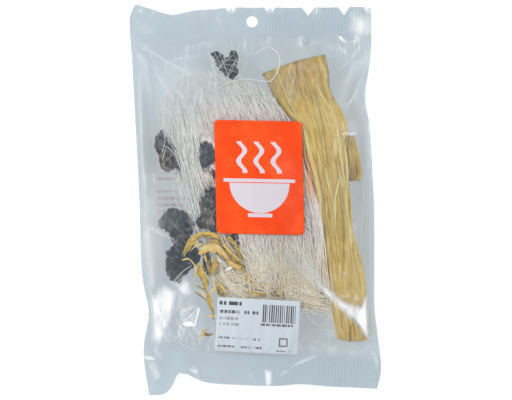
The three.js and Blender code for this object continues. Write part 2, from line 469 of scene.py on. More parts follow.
# Creases seen in the photo, as start, end, width and height in mm. A negative height is a valley
creases = [
    (-84, 112, -62, 96, 2.8, 0.8), (-84, 109, -40, 84, 3.2, 0.7), (-80, 104, -58, 70, 3.0, -0.8),
    (-84, 118, -70, 110, 1.5, 0.8), (-60, 98, -30, 100, 1.6, -0.5), (40, 112, 66, 100, 1.6, 0.7),
    (76, 108, 58, 90, 1.8, 0.8), (70, 112, 52, 106, 1.4, 0.6), (78, 96, 62, 60, 2.2, -0.8),
    (59, 46.5, 72, 44.5, 0.9, 0.4), (76, 20, 72, -40, 2.4, 0.6), (-80, 60, -76, -20, 2.6, 0.5),
    (-70, 108.5, -12, 110, 1.3, -0.6), (-12, 110, 50, 109, 1.3, -0.5),
    (-76, -60, -56, -100, 2.4, 0.9), (-64, -78, -50, -58, 2.0, -0.3), (-49, -76, -40, -92, 1.2, 0.3),
    (-49, -76, -39, -74, 1.2, 0.3), (-46, -92, -60, -122, 1.8, 0.9), (-44, -96, -44, -118, 1.6, -0.8),
    (-70, -104, -62, -116, 1.6, 1.0), (39, -54, 80, -98, 2.4, 1.0), (50, -64, 78, -70, 2.0, 0.7),
    (14, -124, 42, -108, 1.2, 0.8), (12, -108, 14, -122, 1.0, 0.8), (-24, -112, -26, -124, 1.0, 0.7),
    (60, -112, 84, -100, 1.8, 0.6), (30, -96, 66, -106, 2.0, -0.6), (44, -40, 40, -70, 1.8, 0.5),
]

# Painted highlights and reflections: patches of the film painted white where flat parts of it would turn to a
# light, as outlines in mm with a soft edge and strength
paintedGlints = [
    ([(40.9, -56), (50, -61.3), (59.5, -70), (72.8, -74.2), (76.7, -66.5), (78, -96.3), (71, -85.8),
      (63, -78.8), (50, -66.5)], 2.2, 0.85),
    ([(64, -75), (72.8, -76), (76.5, -68), (77.8, -96), (71, -86), (65, -79.5)], 1.8, 1.0),
    ([(-72, -70), (-64, -59.5), (-54.6, -63), (-58.8, -82.6), (-67, -100), (-72.8, -98)], 4.0, 0.85),
    ([(-54.6, -59.5), (-44.8, -54), (-46, -64.4), (-54.6, -82.6), (-58.8, -85.4)], 3.5, 0.45),
    ([(-44, -54), (-64, -62), (-76, -84), (-72, -104), (-56, -100), (-50, -84), (-42, -66)], 6.0, 0.35),
    ([(-86, 128), (-74, 124), (-70, 116), (-82, 113)], 4.0, 0.25),
    ([(68, 129), (80, 129), (82, 116), (70, 113), (66, 120)], 6.0, 0.7),
    ([(22, -36), (40, -44), (53, -62), (46, -62), (32, -52), (20, -44)], 4.0, 0.28),
    ([(-9, 114), (-6.5, 114), (-6.8, 104), (-8.4, 103)], 0.8, 0.4),
    ([(8, 114), (10.5, 114), (10, 107)], 0.8, 0.4),
    ([(29, 114), (32, 114), (33, 106), (30, 108)], 0.8, 0.5), ([(47, 115), (50, 114), (52, 110)], 0.8, 0.4),
    ([(56.5, 115), (60, 114.5), (64.5, 109.5), (61, 110)], 0.8, 0.9),
    ([(70, 116), (72, 114), (76, 106)], 1.2, 0.5), ([(76, 60), (80, 52), (82, 20), (78, 22)], 2.5, 0.4),
    ([(-78, -24), (-74, -60), (-70, -62), (-75, -20)], 2.5, 0.3),
    ([(-22, 135.5), (-13, 135.5), (-15.5, 130.5), (-19.5, 130.5)], 0.8, 0.5),
    ([(5.6, 135.5), (14, 135.5), (12.6, 131), (8, 130)], 0.8, 0.5),
    ([(41, 135.5), (44, 135.5), (42, 129.5)], 0.8, 0.5),
    ([(75, 135), (83, 135.5), (81, 130), (77, 131)], 0.8, 0.6),
    ([(-83, 134), (-79, 134), (-81, 131)], 0.8, 0.7), ([(-73, 132), (-70, 131.5), (-71.5, 129)], 0.8, 0.6),
    ([(-49.5, 132), (-45, 132), (-47.5, 130)], 0.6, 0.5),
    ([(6.3, -119), (11.2, -120), (10.8, -130), (7, -130)], 1.0, 0.75),
    ([(-5, -121), (-2.5, -121), (-3, -128)], 0.8, 0.35),
    ([(-79, -108), (-69.5, -110), (-70.5, -112.5), (-78, -111.5)], 0.8, 0.8),
    ([(-76, -114), (-70, -113), (-67, -124), (-71, -127)], 1.6, 0.55),
    ([(16, -124), (20, -119), (24, -120)], 0.8, 0.5),
    ([(24, -118), (30, -113), (42, -108), (43, -109.5), (31, -115)], 0.6, 0.55),
    ([(82, -104), (86, -112), (85, -118), (80, -106)], 1.2, 0.5),
    ([(-30, 128), (-26, 130), (-22, 118)], 1.0, 0.25),
]

# Small painted highlights with crisp edges, where flat parts of the film would turn to a light, as convex
# outlines in mm, anticlockwise, and how white they are
crispPaintedGlints = [
    ([(-51.8, -85.7), (-48.3, -87.9), (-42.4, -87.2), (-44.8, -84)], 0.95),
    ([(-50.2, -85), (-39.2, -74.8), (-39.6, -74), (-50.8, -84.2)], 0.45),
    ([(-42.6, -86.8), (-41.8, -87), (-38.8, -74.8), (-39.9, -74.5)], 0.65),
    ([(-50.2, -85), (-42.6, -86.8), (-39.6, -75)], 0.18),
    ([(-21.7, -48.3), (-19, -48), (-15.8, -46.2), (-18, -45.4)], 0.95),
    ([(-26.2, -40.6), (-23.6, -43.2), (-23, -42.6), (-25, -40)], 0.8),
    ([(59.5, 45.1), (63.5, 46.1), (63.3, 46.8), (59.8, 45.9)], 0.55),
    ([(63.5, 46.1), (70, 46.3), (70, 46.8), (63.3, 46.8)], 0.4),
]


def rimLoop(node):
    # the corners of the cut outline in order, from the bottom left, and where the four corners of it are
    solid = bmesh.new()
    solid.from_mesh(node.data)
    bmesh.ops.remove_doubles(solid, verts=solid.verts, dist=0.001 * mm)
    hole = Vector((film["hole"][0], film["hole"][1]))

    def isRimWall(face):
        centre = face.calc_center_median().xy
        return abs(face.normal.z) < 0.01 and (centre - hole).length > 1.5 * film["hole"][2]

    joins = {}
    for edge in solid.edges:
        walls = [isRimWall(face) for face in edge.link_faces]
        if sum(walls) == 1 and edge.link_faces[walls.index(False)].normal.z > 0.05:
            for one, other in (edge.verts, reversed(edge.verts)):
                joins.setdefault(one, []).append(other)
    start = min(joins, key=lambda v: v.co.x + v.co.y)
    chain = [start, max(joins[start], key=lambda v: v.co.x)]
    while len(chain) < len(joins):
        chain.append(next(v for v in joins[chain[-1]] if v is not chain[-2]))
    places = np.array([v.co.xy for v in chain])
    solid.free()
    ends = [
        int(np.argmax(places[:, 0] - places[:, 1])),
        int(np.argmax(places[:, 0] + places[:, 1])),
        int(np.argmax(places[:, 1] - places[:, 0])),
    ]
    return places, ends


def evenly(points, count):
    share = np.linspace(0, len(points) - 1, count)
    line = np.stack([np.interp(share, range(len(points)), points[:, axis]) for axis in (0, 1)], axis=1)
    for _ in range(film["cornerRounds"]):
        line[1:-1] = (line[:-2] + 2 * line[1:-1] + line[2:]) / 4
    return line


def sheetPlaces(node):
    # a grid of places over the bag's outline: rows along, columns across
    loop, (rightEnd, farEnd, leftEnd) = rimLoop(node)
    columns, rows = film["columns"] + 1, film["rows"] + 1
    bottom = evenly(loop[: rightEnd + 1], columns)
    right = evenly(loop[rightEnd : farEnd + 1], rows)
    top = evenly(loop[farEnd : leftEnd + 1], columns)[::-1]
    left = evenly(np.vstack([loop[leftEnd:], loop[:1]]), rows)[::-1]
    u = np.linspace(0, 1, columns)[None, :, None]
    v = np.linspace(0, 1, rows)[:, None, None]
    ends = (1 - v) * bottom[None] + v * top[None]
    sides = (1 - u) * left[:, None] + u * right[:, None]
    flat = (1 - v) * ((1 - u) * bottom[0] + u * bottom[-1]) + v * ((1 - u) * top[0] + u * top[-1])
    return ends + sides - flat


def pulled(flat):
    # small corrections of the outline: a place, how far it moves and how wide the pull is, in mm
    places = flat / mm
    for x, y, dx, dy, reach in film["pulls"]:
        share = bell(np.hypot(places[..., 0] - x, places[..., 1] - y), reach)
        places = places + share[..., None] * (dx, dy)
    fromTop = places[-1:, :, 1] - places[..., 1]
    for x, half, depth in film["nicks"]:
        notch = depth * np.clip(1 - np.abs(places[..., 0] - x) / half, 0, 1) * bell(fromTop, 7)
        places[..., 1] -= notch
    return places * mm


def sampled(tree, flat, side):
    # the height of the solid over every place of a sheet, from above (side 1) or below (side -1)
    inner = flat * (1 - 1e-4)
    heights = np.empty(flat.shape[:2])
    for j, row in enumerate(inner):
        for i, (x, y) in enumerate(row):
            hit = tree.ray_cast(Vector((x, y, side)), Vector((0, 0, -side)))[0]
            if hit is None:
                hit = tree.find_nearest(Vector((x, y, 5 * mm)))[0]
            heights[j, i] = hit.z
    return heights


def evened(heights, across, along):
    for _ in range(across):
        heights[:, 1:-1] = (heights[:, :-2] + 2 * heights[:, 1:-1] + heights[:, 2:]) / 4
    for _ in range(along):
        heights[1:-1] = (heights[:-2] + 2 * heights[1:-1] + heights[2:]) / 4
    return heights


def creased(x, y, lines):
    total = np.zeros_like(x)
    for fromX, fromY, toX, toY, width, height in lines:
        dx, dy = toX - fromX, toY - fromY
        length = math.hypot(dx, dy)
        along = ((x - fromX) * dx + (y - fromY) * dy) / length
        aside = ((x - fromX) * dy - (y - fromY) * dx) / length
        share = np.clip(along / length, 0, 1)
        fade = np.sin(math.pi * (0.12 + 0.76 * share)) * bell(along - share * length, width)
        total += height * np.exp(-np.abs(aside) / width) * fade
    return total


def paintedGlintShare(x, y):
    # the share of painted highlight at each place: how far inside each outline it is, as a soft mask
    total = np.zeros_like(x)
    for outline, soft, strength in paintedGlints:
        near = np.full(x.shape, 1e9)
        for start, end in sidesOf(outline):
            near = np.minimum(near, fromSegment(x, y, start, end))
        depth = np.where(insideOf(x, y, outline), near, -near)
        total = np.maximum(total, strength * rise(-soft, soft, depth))
    return total


def bending(heights):
    # how sharply a sheet is bent at each place
    bent = np.zeros_like(heights)
    bent[:, 1:-1] = np.abs(heights[:, :-2] + heights[:, 2:] - 2 * heights[:, 1:-1])
    bent[1:-1] += 0.3 * np.abs(heights[:-2] + heights[2:] - 2 * heights[1:-1])
    return np.clip(bent / (0.22 * mm) - 0.08, 0, 1)


def looseCreases(draw, count):
    # short creases all over, more upright and closer together by the welds
    lines = []
    for _ in range(count):
        y = draw.choice([draw.uniform(70, 116), draw.uniform(-112, -70), draw.uniform(-110, 110)])
        x = draw.uniform(-76, 78)
        angle = math.radians(draw.gauss(90, 28 if abs(y) > 70 else 60))
        length = draw.uniform(8, 30)
        dx, dy = length * math.cos(angle), length * math.sin(angle)
        height = draw.choice([-1, 1]) * draw.uniform(0.12, 0.5)
        lines.append((x - dx / 2, y - dy / 2, x + dx / 2, y + dy / 2, draw.uniform(0.8, 2.4), height))
    return lines


def wrinkles(x, y, fromCut, fromFold, seed):
    draw = random.Random(seed)
    total = creased(x, y, looseCreases(draw, film["looseCreases"]))
    for _ in range(film["waves"]):
        pitch, phase, lean = draw.uniform(7, 19), draw.uniform(0, 6), draw.uniform(-0.25, 0.25)
        total += 0.16 * np.cos(2 * math.pi * (x + lean * y) / pitch + phase) * bell(fromCut - 22, 16)
    broad = [noiseAt(a / 17, b / 26, seed) for a, b in zip(x.ravel(), y.ravel())]
    total += 0.7 * np.array(broad).reshape(x.shape)
    return total * rise(18, 26, fromCut) * rise(0, 9, fromFold)


def filmHeights(x, y, fromCut, fromFold, upper, lower):
    # the front and back sheet: ribbed and thin in the welds, creased between them, and one at the rim
    middle = (upper + lower) / 2
    inWeld = 1 - rise(*film["weldFade"], fromCut)
    fromRim = np.sin(0.5 * math.pi * np.clip(fromFold / film["foldRun"], 0, 1)) ** 0.8
    ribs = film["ribHeight"] * inWeld * rise(0, 1.5, fromCut) * np.cos(2 * math.pi * x / film["ribPitch"])
    ribs *= 0.15 + 0.85 * rise(-15, 25, x + 0.1 * np.minimum(y, 0))
    photoCreases = creased(x, y, creases) * rise(17, 22, fromCut) * rise(0, 6, fromFold)
    front = upper + mm * (photoCreases + wrinkles(x, y, fromCut, fromFold, film["seed"]))
    inward = np.minimum(0, wrinkles(x, y, fromCut, fromFold, film["seed"] + 1))
    back = lower - mm * film["backRelief"] * inward
    front, back = middle + (front - middle) * fromRim, middle + (back - middle) * fromRim
    front = front + (middle + film["halfWeld"] - front) * inWeld + ribs
    back = back + (middle - film["halfWeld"] - back) * inWeld + ribs
    back = np.minimum(back, front - film["halfWeld"])
    bend = bending(front) * rise(20, 26, fromCut) * rise(1, 3, fromFold)
    for sheet in (front, back):
        shareRim(sheet, middle)
    return front, back, inWeld, bend


def makeFilm(node):
    tree = treeOf(node)
    cadFlat = sheetPlaces(node)
    flat = pulled(cadFlat)
    x, y = flat[..., 0] / mm, flat[..., 1] / mm
    fromCut = np.minimum(y - y[:1], y[-1:] - y)
    fromFold = np.minimum(x - x[:, :1], x[:, -1:] - x)
    upper, lower = (evened(sampled(tree, cadFlat, side), *film["evening"]) for side in (1, -1))
    front, back, inWeld, bend = filmHeights(x, y, fromCut, fromFold, upper, lower)
    milk = sum(
        share * bell(np.hypot((x - a) / wide, (y - b) / high), 1) for a, b, wide, high, share in film["milky"]
    )
    masks = {
        "weld": inWeld, "shine": paintedGlintShare(x, y), "bend": bend,
        "milk": np.maximum(milk, 0), "tight": nearLines(x, y, film["tight"]),
    }

    sheets = []
    for name, heights, finish in (("film", front, frontFilm), ("filmBack", back, backFilm)):
        sheet = grid(name, film["columns"], film["rows"])
        setPlaces(sheet, np.dstack([flat, np.maximum(heights, film["lowest"])]))
        for key, values in masks.items():
            setValues(sheet, key, values)
        sheet.data.materials.append(finish())
        sheets.append(sheet)
    editAll(sheets[1], (bpy.ops.mesh.flip_normals, {}))
    bag = joined(sheets, "film")
    punchHole(bag)
    editAll(bag, (bpy.ops.mesh.remove_doubles, {"threshold": film["merge"]}))
    finishPiece(bag, "clear_film", "pack")
    bpy.ops.object.shade_smooth_by_angle(angle=math.radians(60))
    return bag


def punchHole(piece):
    # the faces inside the hole go, and what is left of its edge is pulled round and bridged
    x, y, radius = film["hole"]
    shape = bmesh.new()
    shape.from_mesh(piece.data)
    centre = Vector((x, y))
    gone = [f for f in shape.faces if (f.calc_center_median().xy - centre).length < radius]
    bmesh.ops.delete(shape, geom=gone, context="FACES")
    edges = [e for e in shape.edges if e.is_boundary and (e.verts[0].co.xy - centre).length < 1.6 * radius]
    for corner in {v for e in edges for v in e.verts}:
        corner.co.xy = centre + (corner.co.xy - centre).normalized() * radius
    bmesh.ops.bridge_loops(shape, edges=edges)
    shape.to_mesh(piece.data)
    shape.free()


def filmPattern(paint):
    place = paint.place()
    x, y, _ = paint.split(place)
    weld = paint.attribute("weld")
    ribs = (x * (2 * math.pi / film["ribPitch"] / mm)).sine() * 0.5 + 0.5
    ribs = ribs * paint.between(x, -15 * mm, 25 * mm, 0.1, 1)
    cloud = paint.noise(place, 38, 4, 0.6)
    streaks = paint.streaks(place, (1, 0.25, 0), 160, 3, 0.6)
    return place, x, y, weld, ribs, cloud, streaks


def frontFilm():
    paint = Finish("frontFilm")
    place, x, y, weld, ribs, cloud, streaks = filmPattern(paint)
    shine, bend, milk, tight = (paint.attribute(key) for key in ("shine", "bend", "milk", "tight"))
    # painted highlights and reflections: the film is painted white and made more opaque inside the glint
    # outlines
    paintedGlintWhite = (shine * (0.45 + 1.0 * streaks)).clear()
    for outline, white in crispPaintedGlints:
        outline = [(a * mm, b * mm) for a, b in outline]
        paintedGlintWhite = paintedGlintWhite.most(paint.inside(x, y, outline, 0.25 * mm) * white)
    # opacity: the film's own haze, thicker in the welds, plus a painted highlight along sharp bends and
    # inside the glint outlines
    hazeAndPaintedLight = 0.05 + 0.08 * cloud + 0.05 * streaks + weld * (0.14 + 0.18 * ribs) + bend * 0.18 + paintedGlintWhite * 0.85
    hazeAndPaintedLight = hazeAndPaintedLight + milk * (0.7 + 0.6 * cloud)
    clear = paint.mix(weld, (0.34, 0.44, 0.51), (0.46, 0.56, 0.62))
    milky = paint.mix((milk * 4).clear(), clear, (0.58, 0.64, 0.68))
    # paler where the sheet bends sharply: partly the whitening of creased film, partly a painted highlight
    # along the creases
    pale = paint.mix(bend.clear(), milky, (0.80, 0.86, 0.90))
    colour = paint.mix(paintedGlintWhite, pale, (1.0, 1.0, 1.0))
    fine = paint.noise(place, 90, 2, 0.5)
    return paint.surface({
        "Base Color": colour,
        "Roughness": paint.between(cloud, 0.3, 0.7, 0.2, 0.32),
        "IOR": 1.5,
        "Specular IOR Level": 0.7,
        "Coat Weight": 1 - 0.8 * tight,
        "Coat IOR": 1.8,
        "Coat Roughness": 0.15,
        "Alpha": hazeAndPaintedLight.clear(),
        "Normal": paint.bump(fine, 0.1 * mm, 0.5),
    })


# Pale rows on the back film: their area, the bare part between two blocks and the pitch of the rows, in mm
backPrint = {"x": (-71, -47.5), "y": (-11, 19), "bare": (8, 14), "pitch": 4.6}


def backFilm():
    paint = Finish("backFilm")
    place, x, y, weld, ribs, cloud, streaks = filmPattern(paint)
    hazeAndPaintedLight = 0.53 + 0.10 * cloud + 0.06 * streaks + weld * (0.02 + 0.14 * ribs)
    base = paint.mix(cloud, (0.20, 0.31, 0.385), (0.30, 0.42, 0.50))
    # painted light: a pale patch left of the flakes, where the contents shade the back film, is lighter and
    # more opaque
    pale = paint.between(abs(x + 63 * mm), 8 * mm, 24 * mm, 1, 0)
    pale = pale * paint.between(abs(y - 15 * mm), 25 * mm, 60 * mm, 1, 0)
    base = paint.mix(pale * 0.6, base, (0.60, 0.62, 0.61))
    hazeAndPaintedLight = hazeAndPaintedLight + 0.12 * pale
    left, right, low, high, bareLow, bareHigh = (
        edge * mm for key in ("x", "y", "bare") for edge in backPrint[key]
    )
    inPrint = (x > left) * (x < right) * (y > low) * ((y < bareLow).most((y > bareHigh) * (y < high)))
    lines = ((y / mm) * (2 * math.pi / backPrint["pitch"])).sine() > 0.25
    words = paint.streaks(place, (1, 0.01, 0), 900, 1) > 0.47
    ends = paint.streaks(place, (0.2, 1, 0), 330, 1) > 0.42
    ink = inPrint * lines * words * ends
    colour = paint.mix(ink * 0.5, base, (0.78, 0.26, 0.28))
    return paint.surface({
        "Base Color": colour,
        "Roughness": 0.22,
        "IOR": 1.5,
        "Coat Weight": 0.6,
        "Coat Roughness": 0.08,
        "Alpha": (hazeAndPaintedLight + ink * 0.2).clear(),
    })


# Beancurd: a slab of dried skin, creased along its length, under narrow folds, and a smaller part beside it
beancurd = {
    "left": [(4.2, 88.9), (9.5, 79), (14, 70.5), (20.5, 61.5), (28, 54), (30.5, 42), (32.5, 31), (37.5, 17),
             (42, 0), (45.5, -18), (48, -35), (50.5, -60), (53.5, -80), (56.5, -97)],
    "right": [(48.5, 102.5), (51.3, 90), (52, 78), (57, 68), (63, 57), (64.5, 46), (62.8, 32), (64.8, 16),
              (66.8, 0), (68, -20), (73, -38), (76.5, -56), (78, -77), (78.6, -98)],
    "crown": 3.2,
    "columns": 150,
    "rows": 190,
    "depth": 1.6,
    "thickness": 8.0,
    "body": 11,
    "span": 34,
    "length": 205,
    "creases": [(3.4, 95, 0.6), (1.7, 60, 0.35), (0.8, 30, 0.15)],
    "folds": 22,
    "gaps": [
        ([(53.2, 71.4), (58.8, 53.9), (60.9, 46.9)], 0.7, 1), ([(40.6, 50.4), (43.4, 35)], 0.8, 0.7),
        ([(46.2, 52.5), (49, 35)], 0.7, 0.7), ([(51.8, 56), (53.2, 35)], 0.6, 0.6),
        ([(36.4, 50.4), (42, 28), (45.5, 9.8), (46.9, 0)], 0.5, 0.6),
        ([(35.7, 35), (38.5, 24.5), (40.6, 10.5)], 1.2, 0.7),
        ([(46.9, 4.2), (51.8, -10.5), (52.5, -36.4)], 0.6, 0.8),
        ([(60.2, 8.4), (60.9, -10.5), (61.6, -30.1)], 1.2, 1),
        ([(52.5, -21.7), (53.9, -36.4), (58.1, -53.9)], 0.6, 0.9),
        ([(61.6, -32.2), (60.2, -53.9)], 0.6, 0.8), ([(67.2, -32.2), (72.8, -53.9)], 0.8, 0.7),
        ([(49.7, 3.5), (51.1, -28)], 0.4, 0.5), ([(56, -3.5), (56, -28), (57.4, -43.4)], 0.5, 0.6),
        ([(64.4, -19.6), (66.5, -43.4), (67.2, -63)], 0.5, 0.6), ([(51.8, 28), (54.6, 7)], 0.5, 0.5),
        ([(57.4, 35), (59.5, 17.5)], 0.5, 0.6), ([(28, 96.6), (29.4, 84), (32.9, 70)], 0.6, 0.5),
        ([(33.6, 91), (35, 73.5)], 0.4, 0.4), ([(18.9, 79.8), (26.6, 64.4)], 0.5, 0.6),
        ([(22.4, 75.6), (28.7, 60.9)], 0.6, 0.7), ([(48.3, 70), (51.1, 56)], 0.5, 0.6),
        ([(44.1, 71.4), (45.5, 57.4)], 0.5, 0.5), ([(39.2, 72.8), (40.6, 61.6)], 0.4, 0.4),
        ([(58.8, -77), (60.9, -91)], 0.8, 0.8), ([(67.2, -82.6), (70, -95.2)], 0.6, 0.7),
        ([(63.7, -73.5), (65.8, -96.6)], 0.4, 0.5), ([(46, 46), (48, 30)], 8, 0.22),
        ([(56, -84), (60, -94)], 8, 0.12), ([(66, -88), (66.5, -99)], 0.9, 1.1),
    ],
    "strips": [
        ([(32.9, 52.5), (38.5, 29.4), (43.4, 9.8), (44.8, 0), (46, -28), (47.6, -54),
          (50, -70)], 1.5, 1.35),
        ([(62.3, 38.5), (63.4, 18.9), (63, 0), (65, -17.5), (67.2, -35)], 1.3, 1.3),
        ([(59.5, 18), (57, 8), (55, -2), (56, -26)], 0.9, 1.35), ([(48, 24), (51, 10), (54, -4)], 0.8, 1.2),
        ([(49, 3.5), (49.7, -14)], 0.9, 0.7),
        ([(65.8, 0), (66.5, -21), (70, -42), (73.5, -59.5)], 1.3, 0.75),
        ([(43.4, 35), (46.2, 17.5), (51, 1.4)], 0.9, 0.7),
        ([(51.8, -38.5), (53.2, -59.5), (56.7, -73.5)], 1.1, 0.7), ([(63, -35), (64.4, -63)], 1.1, 0.7),
    ],
    "shade": 0.0,
    "seed": 3,
}
beancurdSide = {
    "left": [(57, 46), (59.5, 37), (61, 27), (62, 18), (62.5, 12.6)],
    "right": [(68.6, 44.6), (71, 36), (73, 27), (74.4, 19), (73.2, 13.6)],
    "crown": 0.6,
    "columns": 44,
    "rows": 50,
    "depth": 3.6,
    "thickness": 5,
    "body": 6,
    "span": 12,
    "length": 34,
    "creases": [(3.0, 40, 0.8), (1.4, 30, 0.5), (0.8, 20, 0.3)],
    "folds": 3,
    "gaps": [
        ([(61.6, 42), (63.7, 28), (66.5, 14)], 1.8, 0.9), ([(66.5, 40), (69.5, 28), (71.5, 16)], 0.5, 0.8),
    ],
    "strips": [
        ([(65, 44), (67.5, 30), (69.5, 15)], 1.1, 1.15), ([(69, 43), (71.5, 30), (73, 17)], 1.1, 1.35),
    ],
    "shade": -0.9,
    "seed": 11,
}


def skinPlace(shape, u, v):
    # the seen place at share u across and v along, and the width there. The folds inside follow evened sides,
    # and only the edges have the sides' own bends
    left, right = (throughPoints(shape[side], [v])[0] for side in ("left", "right"))
    powers = np.array([v**3, v**2, v, 1])
    evenLeft, evenRight = (powers @ shape["evened"][side] for side in ("left", "right"))
    crown = shape["crown"] * math.sin(math.pi * limit(u, 0, 1)) * max(0, 1 - 8 * v)
    place = evenLeft * (1 - u) + evenRight * u + (left - evenLeft) * (1 - u) ** 4 + (right - evenRight) * u**4
    return place + (0, crown), np.linalg.norm(right - left)


def creaseHeight(shape, u, v):
    # from 0 in the bottom of a crease to 1 on the flat between creases, and how deep that is in mm
    across, along = u * shape["span"], v * shape["length"]
    flatness, depth = 0, 0
    for n, (wide, long, deep) in enumerate(shape["creases"]):
        wave = noiseAt(across / wide, along / long, shape["seed"] + 4 * n)
        level = min(1, 4.2 * abs(wave)) ** 0.6
        flatness += level * deep
        depth += deep * (1 - level)
    return flatness / sum(deep for _, _, deep in shape["creases"]), depth


def slabSheet(name, shape, filmTree):
    seed, thick = shape["seed"], shape["thickness"]
    across, along = np.linspace(0, 1, shape["columns"] + 1), np.linspace(0, 1, shape["rows"] + 1)
    seen = np.array([[skinPlace(shape, u, v)[0] for u in across] for v in along])
    gaps = nearLines(seen[..., 0], seen[..., 1], shape["gaps"])
    tops = np.empty((*gaps.shape, 3))
    under = np.empty_like(tops)
    tones, grains = [], []
    for j, v in enumerate(along):
        atEnd = min(v, 1 - v) * shape["rows"] / 3
        smooth = 1 - rise(0.12, 0.3, v)
        for i, u in enumerate(across):
            x, y = seen[j, i]
            flatness, crease = creaseHeight(shape, u, v)
            shoulder = (1 - abs(2 * u - 1) ** 5) ** 0.5 * min(1, atEnd) ** 0.5
            frayed = (0.7 + 1.6 * v) * noiseAt(x / (1.8 + 1.6 * v), seed, 0) * max(0, 1 - atEnd / 3)
            z = roofOver(filmTree, x, y) - shape["depth"]
            place = seenAt(x, y + frayed, z * mm)
            lump = 0.5 * noiseAt(x / 9, y / 16, seed)
            flatness += (1 - flatness) * 0.6 * smooth
            crease = 0.5 * crease * (1 - 0.8 * smooth) + 0.35 * gaps[j, i]
            tops[j, i] = (*place, z - crease + lump - 0.45 * thick * (1 - shoulder))
            # the underside stays above the back film
            body = shape["body"] * (0.3 + 0.7 * shoulder)
            floor = bottomOf(filmTree, *(np.array(place) * mm)) / mm + 0.7
            low = z - 0.45 * thick - body + 1.5 * lump
            under[j, i] = (*place, min(tops[j, i, 2], max(floor, low)))
            # the tone paints shade in the creases and in the gaps between folds, lighter on the flat between
            # creases; it is also darker at the edges and towards the top end
            edge = 0.25 * rise(0.06, 0, min(u, 1 - u)) + 0.2 * rise(0.02, 0, v) + 0.55 * smooth
            tones.append(0.36 + 0.38 * flatness - edge - 0.75 * gaps[j, i] + shape["shade"] * (1 - u))
            grains.append((u * shape["span"], v * shape["length"], 0))
    return closedSheet(name, tops * mm, under * mm, tones, grains)


def foldStrip(shape, n, path, halves, looks, filmTree):
    # a thin arched strip along a path in mm, leaning, with one edge over its neighbour
    lean, arch, lift, tone = looks
    over, under = np.linspace(-1, 1, 7), np.linspace(1, -1, 7)[1:-1]
    rings = np.empty((len(path), len(over) + len(under), 3))
    grains = np.empty_like(rings)
    for j, ((x, y), (dx, dy), half) in enumerate(zip(path, headings(path), halves)):
        top = roofOver(filmTree, x, y) - shape["depth"] + 0.75 - lift
        top += 0.4 * noiseAt(j * 0.12, n, 9)
        for k, s in enumerate([*over, *under]):
            ripple = 0.12 * math.sin(9 * s + 1.1 * j + n) * (1 - s * s)
            bow = arch * half * (1 - s * s) + ripple - (0.25 if k >= len(over) else 0)
            z = min(top, top - arch * half + bow) + lean * s * half * (1 if lean * s < 0 else 0.3)
            rings[j, k] = (*seenAt(x - dy * s * half, y + dx * s * half, z * mm), max(1.3, z))
            grains[j, k] = (s * half + 9 * n, 2.8 * j, n)
    piece = wrapped("fold", rings * mm, grains)
    setValues(piece, "tone", [tone + shape["shade"]] * len(piece.data.vertices))
    return piece


def skinFold(shape, n, draw, filmTree):
    # one long fold that follows the sides of the slab
    start, end = draw.choice([(0, draw.uniform(0.3, 1)), (draw.uniform(0, 0.7), 1), (0.1, 0.8), (0, 1)])
    if draw.random() < 0.5:
        start = draw.uniform(0.12, 0.7)
        end = start + draw.uniform(0.12, 0.3)
    centre, drift, half = draw.uniform(0.03, 0.97), draw.gauss(0, 0.25), draw.uniform(0.008, 0.026)
    looks = draw.uniform(-0.3, 0.3), draw.uniform(0.15, 0.3), draw.uniform(0.2, 1.1), draw.uniform(0.5, 0.85)
    steps = max(10, int((end - start) * shape["length"] / 2.8))
    path, halves = [], []
    for j, v in enumerate(np.linspace(start, end, steps)):
        wander = noiseAt(v * 2.4, n * 3.1, shape["seed"])
        u = limit(centre + drift * (v - 0.5) + 0.04 * wander, half * 0.8, 1 - half * 0.8)
        at, width = skinPlace(shape, u, v)
        fromEnd = min(j, steps - 1 - j)
        atSkinEnd = start == 0 and v < 0.5 or end == 1 and v > 0.5
        taper = min(1, fromEnd / 3 + 0.6 if atSkinEnd else fromEnd / (0.16 * steps) + 0.25)
        path.append(at)
        halves.append(half * width * (1 + 0.6 * noiseAt(v * 7, n * 1.7, 3)) * taper)
    return foldStrip(shape, n, np.array(path), halves, looks, filmTree)


def ownFolds(shape, filmTree):
    # the folds seen in the photo, on their own paths
    folds = []
    for n, (points, half, tone) in enumerate(shape["strips"]):
        path = smoothPath(points, 2.4)
        taper = np.minimum(1, 0.2 + np.minimum(np.arange(len(path)), np.arange(len(path))[::-1]) / 5)
        wide = [1 + 0.5 * noiseAt(j * 0.2, n, 5) for j in range(len(path))]
        folds.append(foldStrip(shape, n + 0.5, path, half * taper * wide, (0.1, 0.3, 0.1, tone), filmTree))
    return folds


def closedSheet(name, tops, under, tones, grains):
    # a closed body between an upper and a lower sheet with the same outline
    rows, columns = tops.shape[0] - 1, tops.shape[1] - 1
    under = under.copy()
    shareRim(under, tops)
    sheets = []
    for places in (tops, under):
        sheet = grid(name, columns, rows)
        setPlaces(sheet, places)
        setValues(sheet, "tone", tones)
        setGrain(sheet, grains)
        sheets.append(sheet)
    editAll(sheets[1], (bpy.ops.mesh.flip_normals, {}))
    return merged(joined(sheets, name))


def merged(piece, *steps):
    return editAll(piece, (bpy.ops.mesh.remove_doubles, {"threshold": 0.001 * mm}), *steps)


def wrapped(name, rings, grains):
    # a closed tube over rings of places: the sheet's first and last columns meet, and so do its ends
    rows, columns = rings.shape[0] - 1, rings.shape[1]
    piece = grid(name, columns, rows)
    setPlaces(piece, np.concatenate([rings, rings[:, :1]], axis=1))
    setGrain(piece, np.concatenate([grains, grains[:, :1]], axis=1))
    capEnds = bpy.ops.mesh.fill_holes, {"sides": 0}
    turnOut = bpy.ops.mesh.normals_make_consistent, {"inside": False}
    return merged(piece, capEnds, turnOut)


